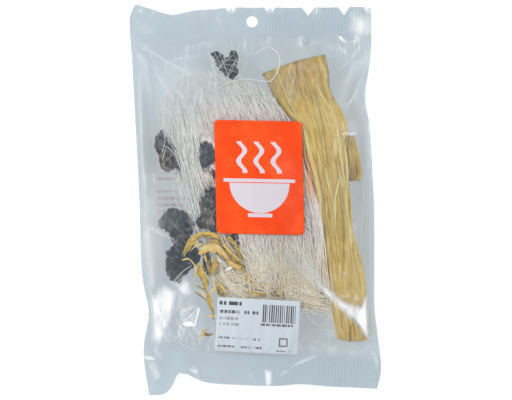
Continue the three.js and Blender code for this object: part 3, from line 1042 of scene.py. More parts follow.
def beancurdSkin():
    # fibres and thin cracks along the folds; olive in the creases, in the gaps and at the edges, where the
    # tone attribute paints shade, and straw on the ridges
    paint = Finish("beancurdSkin")
    place = paint.place()
    grain = paint.attribute("grain", "Vector")
    ridge = paint.attribute("tone")
    fibres = paint.streaks(grain, (1, 0.055, 1), 2.0, 4, 0.65, 0.4)
    broad = paint.streaks(grain, (1, 0.12, 1), 0.55, 3, 0.6, 0.3)
    patches = paint.noise(place, 60, 4, 0.65)
    cracks = paint.between(abs(paint.streaks(grain, (1, 0.07, 1), 0.9, 2, 0.5) - 0.5), 0, 0.03)
    # ridge holds the tone with the painted shade of the creases and gaps
    tone = 0.28 * fibres + 0.3 * broad + 0.22 * patches + 0.27 * ridge - 0.05 * (1 - cracks)
    colour = paint.ramp(tone, [
        (0.28, (0.23, 0.12, 0.005)), (0.40, (0.48, 0.30, 0.025)),
        (0.52, (0.69, 0.46, 0.065)), (0.70, (0.92, 0.70, 0.22)),
    ])
    rosy = paint.streaks(grain, (1, 0.06, 1), 0.6, 2, 0.5, move=(5, 9, 2))
    colour = paint.mix(paint.between(rosy, 0.50, 0.66, 0, 0.4), colour, (0.60, 0.37, 0.17))
    # painted reflection of the printed panel: the skin beside it is tinted with its orange
    x, y, _ = paint.split(place)
    besidePanel = paint.between(abs(y - 14 * mm), 12 * mm, 24 * mm, 1, 0)
    panelReflection = paint.between(x, 37 * mm, 42 * mm, 0.8, 0) * besidePanel
    colour = paint.mix(panelReflection, colour, (0.92, 0.44, 0.16))
    return paint.surface({
        "Base Color": colour,
        "Roughness": paint.between(fibres, 0.3, 0.7, 0.42, 0.6),
        "Subsurface Weight": 0.3,
        "Subsurface Radius": (1.0, 0.6, 0.2),
        "Subsurface Scale": 2 * mm,
        "Normal": paint.bump(fibres + 0.5 * broad + 0.5 * cracks, 0.5 * mm, 0.8),
    })


def makeBeancurd(filmTree):
    skin = beancurdSkin()
    made = []
    for name, shape in (("beancurd_skin", beancurd), ("beancurd_side", beancurdSide)):
        draw = random.Random(shape["seed"])
        shape["evened"] = {
            side: np.polyfit(np.linspace(0, 1, len(shape[side])), np.array(shape[side]), 3)
            for side in ("left", "right")
        }
        made.append(slabSheet(name, shape, filmTree))
        folds = [skinFold(shape, n, draw, filmTree) for n in range(shape["folds"])]
        made.append(joined(folds + ownFolds(shape, filmTree), name + "_folds"))
    return [finishPiece(piece, "beancurd", "pack", material=skin) for piece in made]


# Fungus: crumpled flakes, each from its own outline in mm
fungus = {
    "depth": 1.6,
    "thickness": 1.8,
    "voxel": 0.45 * mm,
    "outlines": {
        "fungus_heart": [(-30.4, 104.3), (-27.3, 105), (-24.8, 103.3), (-23.1, 100.8), (-22.1, 98.4),
                         (-20.6, 101.1), (-19.5, 99.6), (-18.6, 103.3), (-16.8, 105.3), (-14, 105),
                         (-12.2, 103.3), (-11.5, 99.4), (-13.3, 96.6), (-13.3, 93.1), (-12.6, 89.6),
                         (-13.3, 86.8), (-16.1, 84.7), (-18.6, 86.1), (-21.7, 87.5), (-24.5, 91),
                         (-26.6, 94.5), (-28.7, 96.6), (-30.1, 99.4), (-31.5, 101.5)],
        "fungus_leaf": [
            (-67.2, 49.4), (-65.1, 48.3), (-63.7, 44.8), (-61.6, 41.3), (-58.1, 37.8), (-55.7, 35),
            (-55, 31.5), (-53.9, 28), (-53.2, 23.1), (-52.1, 20.7), (-54.2, 21.3), (-56, 22.4), (-58.1, 21),
            (-61.6, 19.3), (-64.4, 20.3), (-66.8, 22.4), (-67.9, 26.6), (-68.2, 31.5), (-70, 34.3),
            (-71.1, 37.8), (-70.7, 42), (-70.7, 45.1), (-68.6, 46.5),
        ],
        "fungus_block": [
            (-39.2, 39.9), (-35.7, 40.6), (-31.5, 39.9), (-30.1, 36.4), (-26.5, 33), (-26, 28.7),
            (-30.8, 25.2), (-35, 22.7), (-37.8, 24.5), (-40.3, 27.3), (-40.6, 29.4), (-38.8, 30.8),
            (-38.2, 34.3), (-39.6, 36.4),
        ],
        "fungus_sliver": [(-31.5, 22.6), (-26, 22), (-24, 12), (-31, 15.4)],
        "fungus_ragged": [
            (-30.8, 9.8), (-33.6, 7.7), (-35.4, 7), (-34.3, 4.9), (-36, 2.8), (-39.6, 2.1), (-37.8, 0.7),
            (-38.2, -1.4), (-40.2, -2.5), (-38.2, -4.2), (-38.8, -7), (-39.2, -11.2), (-40.6, -14),
            (-43.4, -17.5), (-41.3, -18.9), (-38.5, -19.6), (-35.7, -18.9), (-32.9, -21), (-30.1, -23.1),
            (-24, -20.6), (-22, -6), (-24.5, 8), (-29.4, 9.1),
        ],
        "fungus_large": [(-59.8, -5.3), (-49.7, -7.4), (-47.6, -11), (-43.8, -15.1), (-45.4, -24.5),
                         (-46.8, -32.9), (-49.4, -38.5), (-43.8, -46.9), (-48.7, -52.5), (-53.6, -57.7),
                         (-58.1, -57.7), (-63.3, -49.7), (-62.6, -42.7), (-64, -36), (-57.8, -31.5),
                         (-60.6, -24.5), (-68.9, -18.5), (-67.8, -13.4)],
        "fungus_scrap": [(-51, -34), (-43, -30.5), (-39.5, -38), (-41, -46), (-48, -44)],
        "fungus_chip": [(-37, -35), (-33.5, -37), (-30, -46), (-32, -53), (-36, -50), (-37.5, -43)],
        "fungus_strip": [(-17.5, -21), (-13, -22), (-11.5, -31), (-13.5, -34), (-17.5, -28)],
    },
    "ragged": {
        "fungus_heart": 0.4, "fungus_leaf": 0.1, "fungus_block": 0.3,
        "fungus_ragged": 0.7, "fungus_large": 0.55,
    },
    "lowest": 1.5,
    "brown": [
        (-66, 27, 9, 0.95), (-60, 22, 6, 0.7), (-67, 41, 6, 0.45), (-33, -11, 11, 1.0), (-36, -2, 6, 0.8),
        (-52, -26, 7, 0.35),
    ],
    "seed": 21,
}


def crumpledFlake(name, outline, filmTree, seed):
    # a flat curve with depth, cut into small even faces, then dented and lifted under the film
    curve = bpy.data.curves.new(name, "CURVE")
    curve.dimensions = "2D"
    curve.fill_mode = "BOTH"
    curve.extrude = 0.5 * fungus["thickness"] * mm
    spline = curve.splines.new("POLY")
    spline.points.add(len(outline) - 1)
    for point, (x, y) in zip(spline.points, outline):
        point.co = (x * mm, y * mm, 0, 1)
    spline.use_cyclic_u = True
    piece = meshOf(name, curve)
    remesh = piece.modifiers.new("evenFaces", "REMESH")
    remesh.mode = "VOXEL"
    remesh.voxel_size = fungus["voxel"]
    applyAll(piece)
    places, tones, browns = getPlaces(piece), [], []
    share = fungus["ragged"].get(name, 1)
    for n, (x, y, z) in enumerate(places / mm):
        browns.append(max(much * bell(math.hypot(x - a, y - b), r) for a, b, r, much in fungus["brown"]))
        shift = noise.noise_vector(Vector((x / 4, y / 4, seed))) * 2.6 * share
        fine = noise.noise_vector(Vector((x / 1.4, y / 1.4, seed + 3))) * (0.7 + 1.0 * share)
        fine += noise.noise_vector(Vector((x / 0.8, y / 0.8, seed + 5))) * 0.7
        fold = 1 - min(1, 3.2 * abs(noiseAt(x / 5, y / 5, seed + 7)))
        crease = 1 - min(1, 3 * abs(noiseAt(x / 2, y / 2, seed + 9)))
        relief = 0.65 * fold + 0.35 * crease
        # painted light and shade: the tone is lighter on the raised parts of the crumple and darker in its
        # folds
        tones.append(relief + 0.5 * noiseAt(x / 6, y / 6, seed + 11))
        x, y = x + shift.x + fine.x, y + shift.y + fine.y
        top = roofOver(filmTree, x, y) - fungus["depth"]
        height = top - 0.5 * fungus["thickness"] + 0.8 * z - 3.0 * (1 - relief)
        places[n] = (*seenAt(x, y, top * mm), max(fungus["lowest"], height))
    setPlaces(piece, places * mm)
    setValues(piece, "tone", tones)
    setValues(piece, "brown", browns)
    return piece


def fungusSkin():
    paint = Finish("fungusSkin")
    place = paint.place()
    brown = paint.attribute("brown")
    mottle = paint.noise(place, 240, 5, 0.65)
    veins = paint.noise(place, 620, 3, 0.6, 1.0)
    # relief holds the painted light and shade of the crumple: lighter raised parts, darker folds
    relief = paint.attribute("tone")
    tone = 0.35 * mottle + 0.25 * veins + 0.4 * relief
    slate = paint.ramp(tone, [
        (0.28, (0.004, 0.005, 0.007)), (0.44, (0.015, 0.018, 0.023)),
        (0.58, (0.050, 0.054, 0.062)), (0.76, (0.16, 0.16, 0.17)),
    ])
    umber = paint.ramp(tone, [
        (0.28, (0.030, 0.021, 0.013)), (0.44, (0.105, 0.078, 0.055)),
        (0.58, (0.24, 0.19, 0.14)), (0.76, (0.42, 0.36, 0.29)),
    ])
    patch = (brown * (0.4 + 1.2 * mottle)).clear()
    return paint.surface({
        "Base Color": paint.mix(patch, slate, umber),
        "Roughness": paint.between(mottle, 0.3, 0.7, 0.55, 0.85),
        "Specular IOR Level": 0.3,
        "Normal": paint.bump(mottle + 0.4 * veins, 0.6 * mm, 0.7),
    })


def makeFungus(filmTree):
    pieces, skin = [], fungusSkin()
    for n, (name, outline) in enumerate(fungus["outlines"].items()):
        piece = crumpledFlake(name, outline, filmTree, fungus["seed"] + 5 * n)
        pieces.append(finishPiece(piece, "fungus", "pack", material=skin))
    return pieces


# Strands: many thin tubes with four sides as one curve object, made a mesh
def strandPiece(name, strands):
    # strands holds (points, radius) pairs in metres
    curve = bpy.data.curves.new(name, "CURVE")
    curve.dimensions = "3D"
    curve.bevel_depth = 1.0
    curve.bevel_resolution = 0
    curve.use_fill_caps = True
    for points, radius in strands:
        spline = curve.splines.new("POLY")
        spline.points.add(len(points) - 1)
        flat = np.hstack([points, np.ones((len(points), 1))]).astype(np.float32)
        spline.points.foreach_set("co", flat.ravel())
        spline.points.foreach_set("radius", np.full(len(points), radius, dtype=np.float32))
    return meshOf(name, curve)


# Lily buds: limp flat pods with grooves, each along its own path in mm, with a half width and a ripeness that
# goes from 0, brown, through olive and golden to 0.8, orange, and 1, pale
lily = {
    "depth": 0.7,
    "flatness": 0.42,
    "around": 18,
    "step": 0.6,
    "lowest": 1.4,
    "splitWidth": 1.2,
    "parts": [(0, 1.0, 0), (-0.55, 0.55, 0.14), (0.5, 0.5, -0.16), (0.1, 0.45, 0.1)],
    "buds": [
        ([(-50.5, -39.5), (-48.5, -33), (-43.5, -26.6), (-36, -23.6), (-29, -24.8), (-24, -28)], 1.5, 0.44),
        ([(-50, -37), (-46, -31), (-41, -27.6)], 1.7, 0.5),
        ([(-44, -27.5), (-37, -25), (-31, -26.5)], 1.0, 0.3),
        ([(-40.5, -38), (-36.5, -35), (-30, -33.6), (-25, -35.5), (-22.5, -40)], 2.1, 0.74),
        ([(-34, -34), (-28, -33.5), (-23, -37), (-19, -42)], 1.6, 0.8),
        ([(-38, -33), (-32, -29), (-26, -30), (-22, -34)], 1.0, 0.34),
        ([(-46, -36), (-42, -32), (-37, -31)], 0.8, 0.9),
        ([(-36, -38), (-34.5, -44), (-33.5, -50)], 0.8, 0.5),
        ([(-28, -38), (-27, -45), (-28, -51)], 0.8, 0.34),
        ([(-22.5, -40), (-18, -43.5), (-13, -47), (-8.5, -49.5)], 2.0, 0.66),
        ([(-27, -27), (-22.5, -31.5), (-17, -39), (-11.5, -45), (-8.5, -49)], 1.9, 0.16),
        ([(-25.5, -28.5), (-20.5, -34), (-14.5, -42), (-10, -48)], 1.3, 0.6),
        ([(-21, -26), (-14.5, -32), (-9.5, -43.5)], 2.0, 0.34),
        ([(-52, -42), (-47.5, -41.2), (-43.5, -45), (-42, -50), (-43.8, -56)], 1.0, 0.95),
        ([(-39.8, -43.5), (-38.7, -50.5), (-36, -56), (-35.2, -64.5)], 1.9, 0.4),
        ([(-37.5, -46), (-36, -53), (-33.5, -60)], 1.1, 0.12),
        ([(-30.8, -40), (-29.4, -46), (-30.8, -53)], 1.8, 0.56),
        ([(-33, -41.5), (-32.5, -48), (-31.5, -54)], 1.0, 0.3),
        ([(-43.8, -59), (-38.5, -61.5), (-33.5, -65)], 0.6, 0.2),
        ([(-44.5, -57), (-39, -60), (-34, -62)], 0.5, 0.95),
        ([(-42.5, -62), (-38, -65), (-34.5, -68.5)], 0.6, 0.9),
        ([(-43, -64), (-39, -67), (-35, -70)], 0.5, 0.15),
        ([(-24.5, -56.7), (-29.4, -61.6), (-33.6, -67.2)], 0.6, 1.0),
        ([(-31, -53), (-29.5, -59), (-29, -66)], 0.7, 0.95),
        ([(-34, -65), (-32.5, -71), (-30, -80)], 1.7, 0.5),
        ([(-33, -66), (-31, -73), (-29.5, -84)], 0.9, 0.22),
        ([(-35.5, -81), (-30.5, -81.5), (-26, -80.8)], 0.6, 0.95),
        ([(-40, -97), (-36.5, -93), (-34.8, -89)], 0.8, 0.5),
        ([(-38, -92), (-34, -94.5), (-29, -93.5)], 0.7, 0.2),
        ([(-27.5, -61), (-25, -64.5), (-22, -68)], 2.0, 0.26),
        ([(-26.5, -58), (-22.5, -62.5), (-19.5, -66)], 0.9, 0.6),
        ([(-6, -64), (-1, -66.5), (3.5, -65.5), (7, -66.5)], 1.6, 0.3),
        ([(9, -65), (14.5, -66), (19, -67)], 1.5, 0.14),
        ([(-4.9, -50), (-4.6, -58), (-3.5, -68)], 0.4, 0.8),
        ([(-1.4, -58), (-1.2, -64), (-0.7, -70)], 0.4, 0.9), ([(3, -57), (8.5, -62), (17, -69)], 0.4, 0.85),
        ([(17.5, -55), (18, -62), (17.5, -69.5)], 0.4, 0.8), ([(-9, -49), (-5, -56), (1, -62)], 0.5, 0.55),
        ([(-13, -44), (-9, -52), (-3, -60)], 0.5, 0.9),
    ],
}


def podRings(path, halfWidth, twist, n, filmTree):
    angles = np.linspace(0, 2 * math.pi, lily["around"], endpoint=False)
    rings = np.empty((len(path), lily["around"], 3))
    grains = np.empty_like(rings)
    shares = np.linspace(0, 1, len(path))
    for k, (share, (x, y), (dx, dy)) in enumerate(zip(shares, path, headings(path))):
        swell = math.sin(math.pi * limit(share * 0.96 + 0.02, 0, 1)) ** 0.6
        wide = halfWidth * swell * (0.95 + 1.1 * noiseAt(k * lily["step"] / 5, n, 0.5))
        roll = twist * math.sin(share * 4 + n)
        rollCos, rollSin = math.cos(roll), math.sin(roll)
        top = roofOver(filmTree, x, y) - lily["depth"] - 0.7 * halfWidth
        lift = 0.9 * noiseAt(x / 5, y / 5, n)
        for a, angle in enumerate(angles):
            ridge = abs(math.sin(3 * angle + 0.8 * math.sin(share * 5)))
            groove = 1 - 0.5 * abs(math.cos(angle)) ** 0.5 * ridge
            side = wide * math.cos(angle)
            up = wide * lily["flatness"] * math.sin(angle) * groove
            cup = 0.45 * side * side / max(wide, 0.2)
            side, up = side * rollCos - up * rollSin, side * rollSin + up * rollCos
            rings[k, a] = (x - dy * side, y + dx * side, max(lily["lowest"], top + lift + up + cup))
            grains[k, a] = (side + 7 * n, k * lily["step"], up)
    return rings, grains


def makeLily(filmTree):
    pods = []
    for n, (route, halfWidth, ripe) in enumerate(lily["buds"]):
        route = [seenAt(x, y, roofOver(filmTree, x, y) * mm) for x, y in route]
        path = smoothPath(route, lily["step"])
        aside = headings(path)[:, ::-1] * (1, -1)
        twist = 0.1 + 0.4 * (n * 0.37 % 1)
        # a wide bud has split into petals beside and over one another
        parts = lily["parts"] if halfWidth > lily["splitWidth"] else lily["parts"][:1]
        for k, (shift, share, riper) in enumerate(parts):
            wander = [shift + 0.35 * noiseAt(j * 0.12, n, k) for j in range(len(path))]
            line = path + aside * halfWidth * np.array(wander)[:, None]
            line = line[2 * k : len(line) - k]
            rings, grains = podRings(line, halfWidth * share, twist, n + 0.3 * k, filmTree)
            rings[..., 2] += 0.22 * k
            pod = wrapped("pod", rings * mm, grains)
            setValues(pod, "tone", [ripe + riper] * len(pod.data.vertices))
            pods.append(pod)
    return finishPiece(joined(pods, "lily_buds"), "lily_buds", "pack", material=lilySkin())


def lilySkin():
    # each pod has its own ripeness, with brown or pale fibres along it and blotches across it
    paint = Finish("lilySkin")
    place = paint.place()
    grain = paint.attribute("grain", "Vector")
    ripe = paint.attribute("tone")
    fibres = paint.streaks(grain, (1, 0.12, 1), 3.2, 3, 0.6, 0.3)
    blotches = paint.noise(place, 260, 3, 0.6)
    tone = ripe + 1.3 * (fibres - 0.5) + 0.9 * (blotches - 0.5)
    colour = paint.ramp(tone, [
        (0.0, (0.12, 0.065, 0.008)), (0.25, (0.36, 0.24, 0.03)), (0.52, (0.75, 0.50, 0.06)),
        (0.78, (0.98, 0.51, 0.08)), (1.0, (0.90, 0.74, 0.32)),
    ])
    return paint.surface({
        "Base Color": colour,
        "Roughness": paint.between(fibres, 0.3, 0.7, 0.42, 0.62),
        "Subsurface Weight": 0.25,
        "Subsurface Radius": (1.0, 0.6, 0.2),
        "Subsurface Scale": 1.5 * mm,
        "Normal": paint.bump(fibres + 0.5 * blotches, 0.5 * mm, 0.9),
    })


# Noodles: sheaves of strands, each strand between the guides that its sheaf follows, in mm
noodles = {
    "radius": 0.24,
    "step": 4.0,
    "flowSize": 38,
    "flowReach": 3.2,
    "samples": 25,
    "lowest": 1.0 * mm,
    "underFilm": 0.42 * mm,
    "overPiece": 0.25 * mm,
    "underPiece": 3.0 * mm,
    "underCovered": 6.5 * mm,
    "sheaves": {
        "noodle_bundle": {
            "guides": [
                [(-57, 84), (-57, 65), (-54, 43), (-47, 22), (-40, 0), (-33, -20), (-24, -43)],
                [(-53, 86), (-50, 64), (-45, 42), (-38, 21), (-30, 0), (-23, -24), (-13, -48)],
                [(-48, 87), (-43, 63), (-38, 42), (-31, 21), (-24, 0), (-16, -24), (-6, -50)],
                [(-41, 86), (-35, 63), (-28, 38), (-21, 14), (-14, -10), (-6, -35), (4, -60)],
                [(-29, 85), (-24, 63), (-17, 38), (-10, 14), (-4, -10), (3, -35), (13, -62)],
                [(-18, 84), (-13, 63), (-7, 38), (-1, 14), (6, -10), (12, -35), (21, -62)],
                [(-6, 83), (-1, 63), (5, 38), (11, 14), (17, -10), (22, -35), (29, -60)],
                [(5, 78), (11, 60), (17, 38), (22, 14), (28, -10), (33, -35), (38, -59)],
                [(14, 70), (21, 53), (28, 35), (34, 14), (38, -10), (43, -35), (48, -57)],
            ],
            "count": 900, "spill": 0.2, "drift": 0.8, "fade": 0.11, "fadeEnd": 0.16, "depth": (0.8, 3.4),
            "over": 0, "end": 0.93, "seed": 1,
        },
        "noodle_slant": {
            "guides": [
                [(-54, 88), (-46, 66), (-36, 42), (-26, 16), (-14, -14)],
                [(-48, 90), (-36, 70), (-22, 46), (-10, 16), (0, -20)],
                [(-34, 90), (-18, 72), (-2, 46), (10, 14), (20, -20)],
                [(-14, 88), (4, 68), (20, 44), (30, 10), (38, -24)],
            ],
            "count": 260, "spill": 0.12, "drift": 0.8, "fade": 0.16, "depth": (0.6, 3.0),
            "over": 0, "seed": 2,
        },
        "noodle_sweep": {
            "guides": [
                [(-23, -22), (-16, -37), (-4, -48), (11, -56), (31, -63), (46, -69)],
                [(-11, -22), (-5, -35), (4, -45), (20, -53), (35, -60), (49, -66)],
                [(2, -22), (8, -34), (18, -42), (31, -50), (43, -59), (52, -64)],
                [(17, -22), (24, -32), (31, -41), (39, -49), (46, -57), (52, -63)],
                [(31, -22), (36, -32), (41, -41), (45, -49), (49, -56), (53, -62)],
            ],
            "count": 300, "spill": 0.2, "drift": 1.4, "fade": 0.12, "depth": (0.5, 2.2),
            "over": 0.01, "seed": 3,
        },
        "noodle_turn": {
            "guides": [
                [(-26, -40), (-23, -54), (-12, -62), (4, -64), (24, -66), (40, -69), (54, -71)],
                [(-20, -60), (-10, -68), (4, -71), (22, -72), (36, -74), (52, -77)],
            ],
            "count": 190, "spill": 0.15, "drift": 0.7, "fade": 0.1, "fadeEnd": 0.12, "depth": (0.6, 4.0),
            "over": 0.02, "seed": 4,
        },
        "noodle_edge": {
            "guides": [
                [(33, 30), (38, 6), (41.5, -18), (44, -35), (45.5, -62)],
                [(36, 26), (41, 4), (45.5, -18), (48, -35), (49.5, -62)],
                [(37, 18), (42, 0), (46, -20), (48.5, -38), (50.5, -60)],
            ],
            "count": 110, "spill": 0.1, "drift": 1.2, "fade": 0.16, "depth": (0.3, 1.8),
            "over": 0.16, "seed": 6,
        },
        "noodle_underside": {
            "guides": [
                [(-48, 78), (-47, 28), (-38, -24), (-18, -62)],
                [(-20, 86), (-12, 35), (0, -24), (20, -68)],
                [(8, 78), (28, 31), (37, -24), (46, -60)],
            ],
            "count": 240, "spill": 0.1, "drift": 0.3, "fade": 0.08, "depth": (16.0, 30.0),
            "over": 0, "seed": 5,
        },
    },
}


def onContents(place, roof, trees, over):
    # a strand goes over the larger pieces or well under them, and stays inside the film
    x, y, z = place
    top = topOf(trees[1], x, y)
    if top is not None and over:
        z = max(z, top + noodles["overPiece"])
    elif top is not None:
        z = min(z, top - noodles["underPiece"], roof - noodles["underCovered"])
    return limit(z, noodles["lowest"], roof - noodles["underFilm"])


def strandAlong(path, depth, trees, over, wave, draw):
    # gives a flat path, in mm, its wander and its height under the film
    phase = Vector((draw.uniform(-90, 90), draw.uniform(-90, 90), draw.uniform(-90, 90)))
    size, reach = noodles["flowSize"], noodles["flowReach"]
    places = []
    for n, (x, y) in enumerate(path):
        flow = noise.noise_vector(Vector((x / size, y / size, depth / 3))) * reach
        bend = noise.noise_vector(phase + Vector((n * 0.11, 0, 0))) * wave
        x, y = x + flow.x + bend.x, y + flow.y + bend.y
        roof = topOf(trees[0], x * mm, y * mm, 9 * mm)
        z = roof - (depth + 0.5 * abs(bend.z) * depth) * mm
        flatX, flatY = seenAt(x * mm, y * mm, z)
        places.append((flatX, flatY, onContents((flatX, flatY, z), roof, trees, over)))
    places = np.array(places)
    if not over:
        # it dips before a piece and comes up after it, and not within one step
        z = places[:, 2]
        z[1:-1] = np.minimum(z[1:-1], np.minimum(z[:-2], z[2:]))
    return places


def sheafPath(guides, where, start, end):
    # a path whose place between the guides changes along it
    shares = np.linspace(start, end, len(where))
    lines = np.array([throughPoints(guide, shares) for guide in guides])
    n = np.clip(np.floor(where).astype(int), 0, len(guides) - 2)
    low, high = lines[n, range(len(where))], lines[n + 1, range(len(where))]
    return smoothPath(low + (high - low) * (where - n)[:, None], noodles["step"], 5)


def sheaf(shape, trees):
    draw = random.Random(shape["seed"])
    guides = shape["guides"]
    low, high = shape["depth"]
    strands = []
    for _ in range(shape["count"]):
        start = abs(draw.gauss(0, shape["fade"])) - 0.05
        end = shape.get("end", 1.02) - abs(draw.gauss(0, shape.get("fadeEnd", shape["fade"])))
        if draw.random() < 0.3:
            start, end = draw.choice([(start, draw.uniform(0.4, 0.8)), (draw.uniform(0.2, 0.6), end)])
        where = draw.uniform(0, 1) + draw.gauss(0, shape["spill"] / 2)
        drift = draw.gauss(0, shape["drift"]) * np.linspace(-0.5, 0.5, noodles["samples"])
        path = sheafPath(guides, where * (len(guides) - 1) + drift, start, end)
        depth = low + (high - low) * draw.random() ** 1.3
        over = draw.random() < shape["over"]
        places = strandAlong(path, depth, trees, over, draw.uniform(0.6, 3), draw)
        strands.append((places, noodles["radius"] * draw.uniform(0.75, 1.2) * mm))
    return strands


# Loose strands: some on their own paths, and arcs that leave the bundle, each family in its own area in mm
loops = {
    "single": [(-28.7, 77), (-16, 82.5), (-5, 84), (5, 82), (11, 82), (15, 87), (16.6, 95), (14.5, 102),
               (9.5, 105.7), (4.5, 105.5), (-2, 101)],
    "crossing": [
        [(-32.9, 103.6), (-28.7, 93.8), (-23.8, 84)], [(-29.4, 105), (-24.5, 96.6), (-21, 86.8)],
        [(-25.9, 105.7), (-21, 95.2), (-17.5, 85.4)], [(-30.8, 92.4), (-25.2, 99.4), (-18.9, 105)],
        [(-28.7, 88.2), (-22.4, 93.8), (-15.4, 100.8)], [(-23.8, 96.6), (-16.8, 98), (-10.5, 95.9)],
        [(-18.9, 84), (-14.7, 91), (-12.6, 98)], [(-67.2, 48.3), (-65.8, 41.3), (-67.2, 32.9)],
        [(-31, 101), (-24, 96), (-16, 94), (-8, 96)], [(-16, 106), (-21, 97), (-26, 88)],
        [(-10, 102), (-15, 94), (-19, 85)], [(-30, 98), (-22, 93), (-12, 89)],
        [(-66.5, 38.5), (-60.2, 35), (-56, 28.7), (-51.8, 20.3)],
        [(-64.4, 42.7), (-59.5, 36.4), (-53.9, 30.8)], [(-65.1, 35.7), (-66.5, 26.6)],
        [(-58.8, 35), (-53.2, 23.1)], [(44.8, -25.2), (43.4, -43.4), (41.3, -63)],
        [(-5.6, -26.6), (-4.2, -43.4)],
        [(32.2, -73.5), (39.6, -79.8), (47.6, -80.5), (51, -74.2), (47.6, -70), (40, -68)],
        [(44, -92.4), (50, -92), (56, -94.5)], [(33, -70), (36, -82), (45, -89), (52, -86)],
        [(46, -58), (53, -64), (54, -74), (48, -86)], [(47, 30), (54, 24), (62, 20)],
        [(36, 26), (41, 10), (45, -16), (47, -34)], [(-62, -27), (-58, -28), (-56, -31)],
        [(-58, -57), (-52, -51), (-45.5, -46.9)],
    ],
    "families": [
        {"x": (-12, 38), "y": (-72, -50), "radius": (10, 26), "turn": (1.0, 2.6), "count": 60, "over": 0.1},
        {"x": (-22, -6), "y": (-65, -50), "radius": (6, 14), "turn": (2.0, 5.0), "count": 80, "over": 0.1},
        {"x": (34, 50), "y": (-84, -66), "radius": (5, 12), "turn": (1.5, 4.0), "count": 12, "over": 0.3},
        {"x": (-40, 4), "y": (72, 86), "radius": (16, 40), "turn": (0.4, 1.1), "count": 30, "over": 0.1},
        {"x": (-50, -36), "y": (44, 76), "radius": (20, 50), "turn": (0.4, 1.0), "count": 8, "over": 0.1},
        {"x": (38, 54), "y": (-66, -10), "radius": (26, 70), "turn": (0.2, 0.6), "count": 110, "over": 0.75,
         "middles": [-0.6, 0, 2.6, math.pi]},
        {"x": (-46, 20), "y": (10, 86), "radius": (24, 90), "turn": (0.4, 1.0), "count": 320, "over": 0},
        {"x": (-8, 44), "y": (-60, -24), "radius": (14, 50), "turn": (0.6, 1.6), "count": 110, "over": 0.02},
        {"x": (-6, 48), "y": (-70, -26), "radius": (10, 60), "turn": (0.5, 1.8), "count": 260, "over": 0.02},
        {"x": (-16, 44), "y": (-64, -26), "radius": (20, 50), "turn": (0.5, 1.3), "count": 330, "over": 0.02,
         "middles": [-2.5, -2.2, 0.7], "depth": (0.4, 1.8)},
        {"x": (-24, 30), "y": (-70, -40), "radius": (7, 18), "turn": (1.2, 3.5), "count": 160, "over": 0.02,
         "middles": [-2, -1, 1, 2.5], "depth": (0.4, 1.8)},
    ],
    "area": [
        (-56, 82), (-40, 90), (-16, 93), (8, 90), (26, 62), (40, 30), (50, -10), (56, -58), (48, -68),
        (40, -71), (30, -76), (18, -82), (-26, -80), (-34, -60), (-34, -20), (-52, 20), (-63, 60),
    ],
    "step": 2.2,
    "radius": 0.24,
    "singleRadius": 0.40,
    "seed": 9,
}


def makeLoops(trees):
    draw = random.Random(loops["seed"])
    strands = []

    def lay(path, depth, over, wave, radius):
        places = strandAlong(path, depth, trees, over, wave, draw)
        strands.append((places, radius * mm))

    lay(smoothPath(loops["single"], loops["step"]), 0.5, True, 0.2, loops["singleRadius"])
    for path in loops["crossing"]:
        # those over the far flake are finer
        radius = draw.uniform(0.08, 0.13) if path[0][1] > 82 else 0.18
        lay(smoothPath(path, loops["step"]), 0.6, True, 0.6, radius)
    for family in loops["families"]:
        for _ in range(family["count"]):
            x, y, radius = (draw.uniform(*family[key]) for key in ("x", "y", "radius"))
            turn = draw.choice([-1, 1]) * draw.uniform(*family["turn"])
            middle = draw.choice(family.get("middles", [0, math.pi])) + draw.gauss(0, 0.5)
            steps = max(8, int(abs(turn) * radius / 2.5))
            angles = middle + turn * np.linspace(-0.5, 0.5, steps)
            reach = radius * np.array([math.cos(middle), math.sin(middle)])
            path = np.stack([radius * np.cos(angles), radius * np.sin(angles)], axis=1) - 0.5 * reach + (x, y)
            if not insideOf(path[:, 0], path[:, 1], loops["area"]).all():
                continue
            over = draw.random() < family["over"]
            depth = draw.uniform(*family.get("depth", (0.6, 3.0)))
            lay(path, depth, over, 1.6, loops["radius"] * draw.uniform(0.65, 1.15))
    return strands


def noodleStarch():
    # milky at the far end and warmer at the near end, where the buds and the skin show through
    paint = Finish("noodleStarch")
    place = paint.place()
    each = paint.streaks(place, (1, 0.06, 1), 900, 2, 0.5)
    cloudy = paint.noise(place, 60, 3, 0.6)
    tone = 0.5 * each + 0.5 * cloudy
    milky, warm = (paint.ramp(tone, list(zip((0.3, 0.5, 0.68), colours))) for colours in (
        [(0.73, 0.72, 0.66), (0.84, 0.83, 0.76), (0.93, 0.92, 0.86)],
        [(0.74, 0.63, 0.44), (0.88, 0.78, 0.59), (0.97, 0.91, 0.79)],
    ))
    x, y, _ = paint.split(place)
    near = paint.between(y + cloudy * 0.02, -12 * mm, -40 * mm)
    # painted reflection of the printed panel: the strands beside it are tinted with its colour
    besideX = abs(x - panel["at"][0] * mm) - 30 * mm
    besideY = abs(y - panel["at"][1] * mm) - 39 * mm
    panelReflection = paint.between(besideX.most(besideY), 0, 15 * mm, 0.34, 0)
    # a stronger painted orange reflection on the strands just right of the panel, by its middle
    besideMiddle = paint.between(abs(y - 20 * mm), 10 * mm, 24 * mm, 0.75, 0)
    strongPanelReflection = paint.between(besideX * (x > 0), 0, 3 * mm) * besideMiddle
    starch = paint.mix(panelReflection, paint.mix(near, milky, warm), (0.84, 0.50, 0.44))
    return paint.surface({
        "Base Color": paint.mix(strongPanelReflection, starch, (0.92, 0.43, 0.14)),
        "Roughness": paint.between(each, 0.3, 0.7, 0.25, 0.45),
        "IOR": 1.5,
        "Coat Weight": 0.3,
        "Coat Roughness": 0.2,
        "Normal": paint.bump(paint.noise(place, 1500, 2), 0.05 * mm, 0.5),
    })


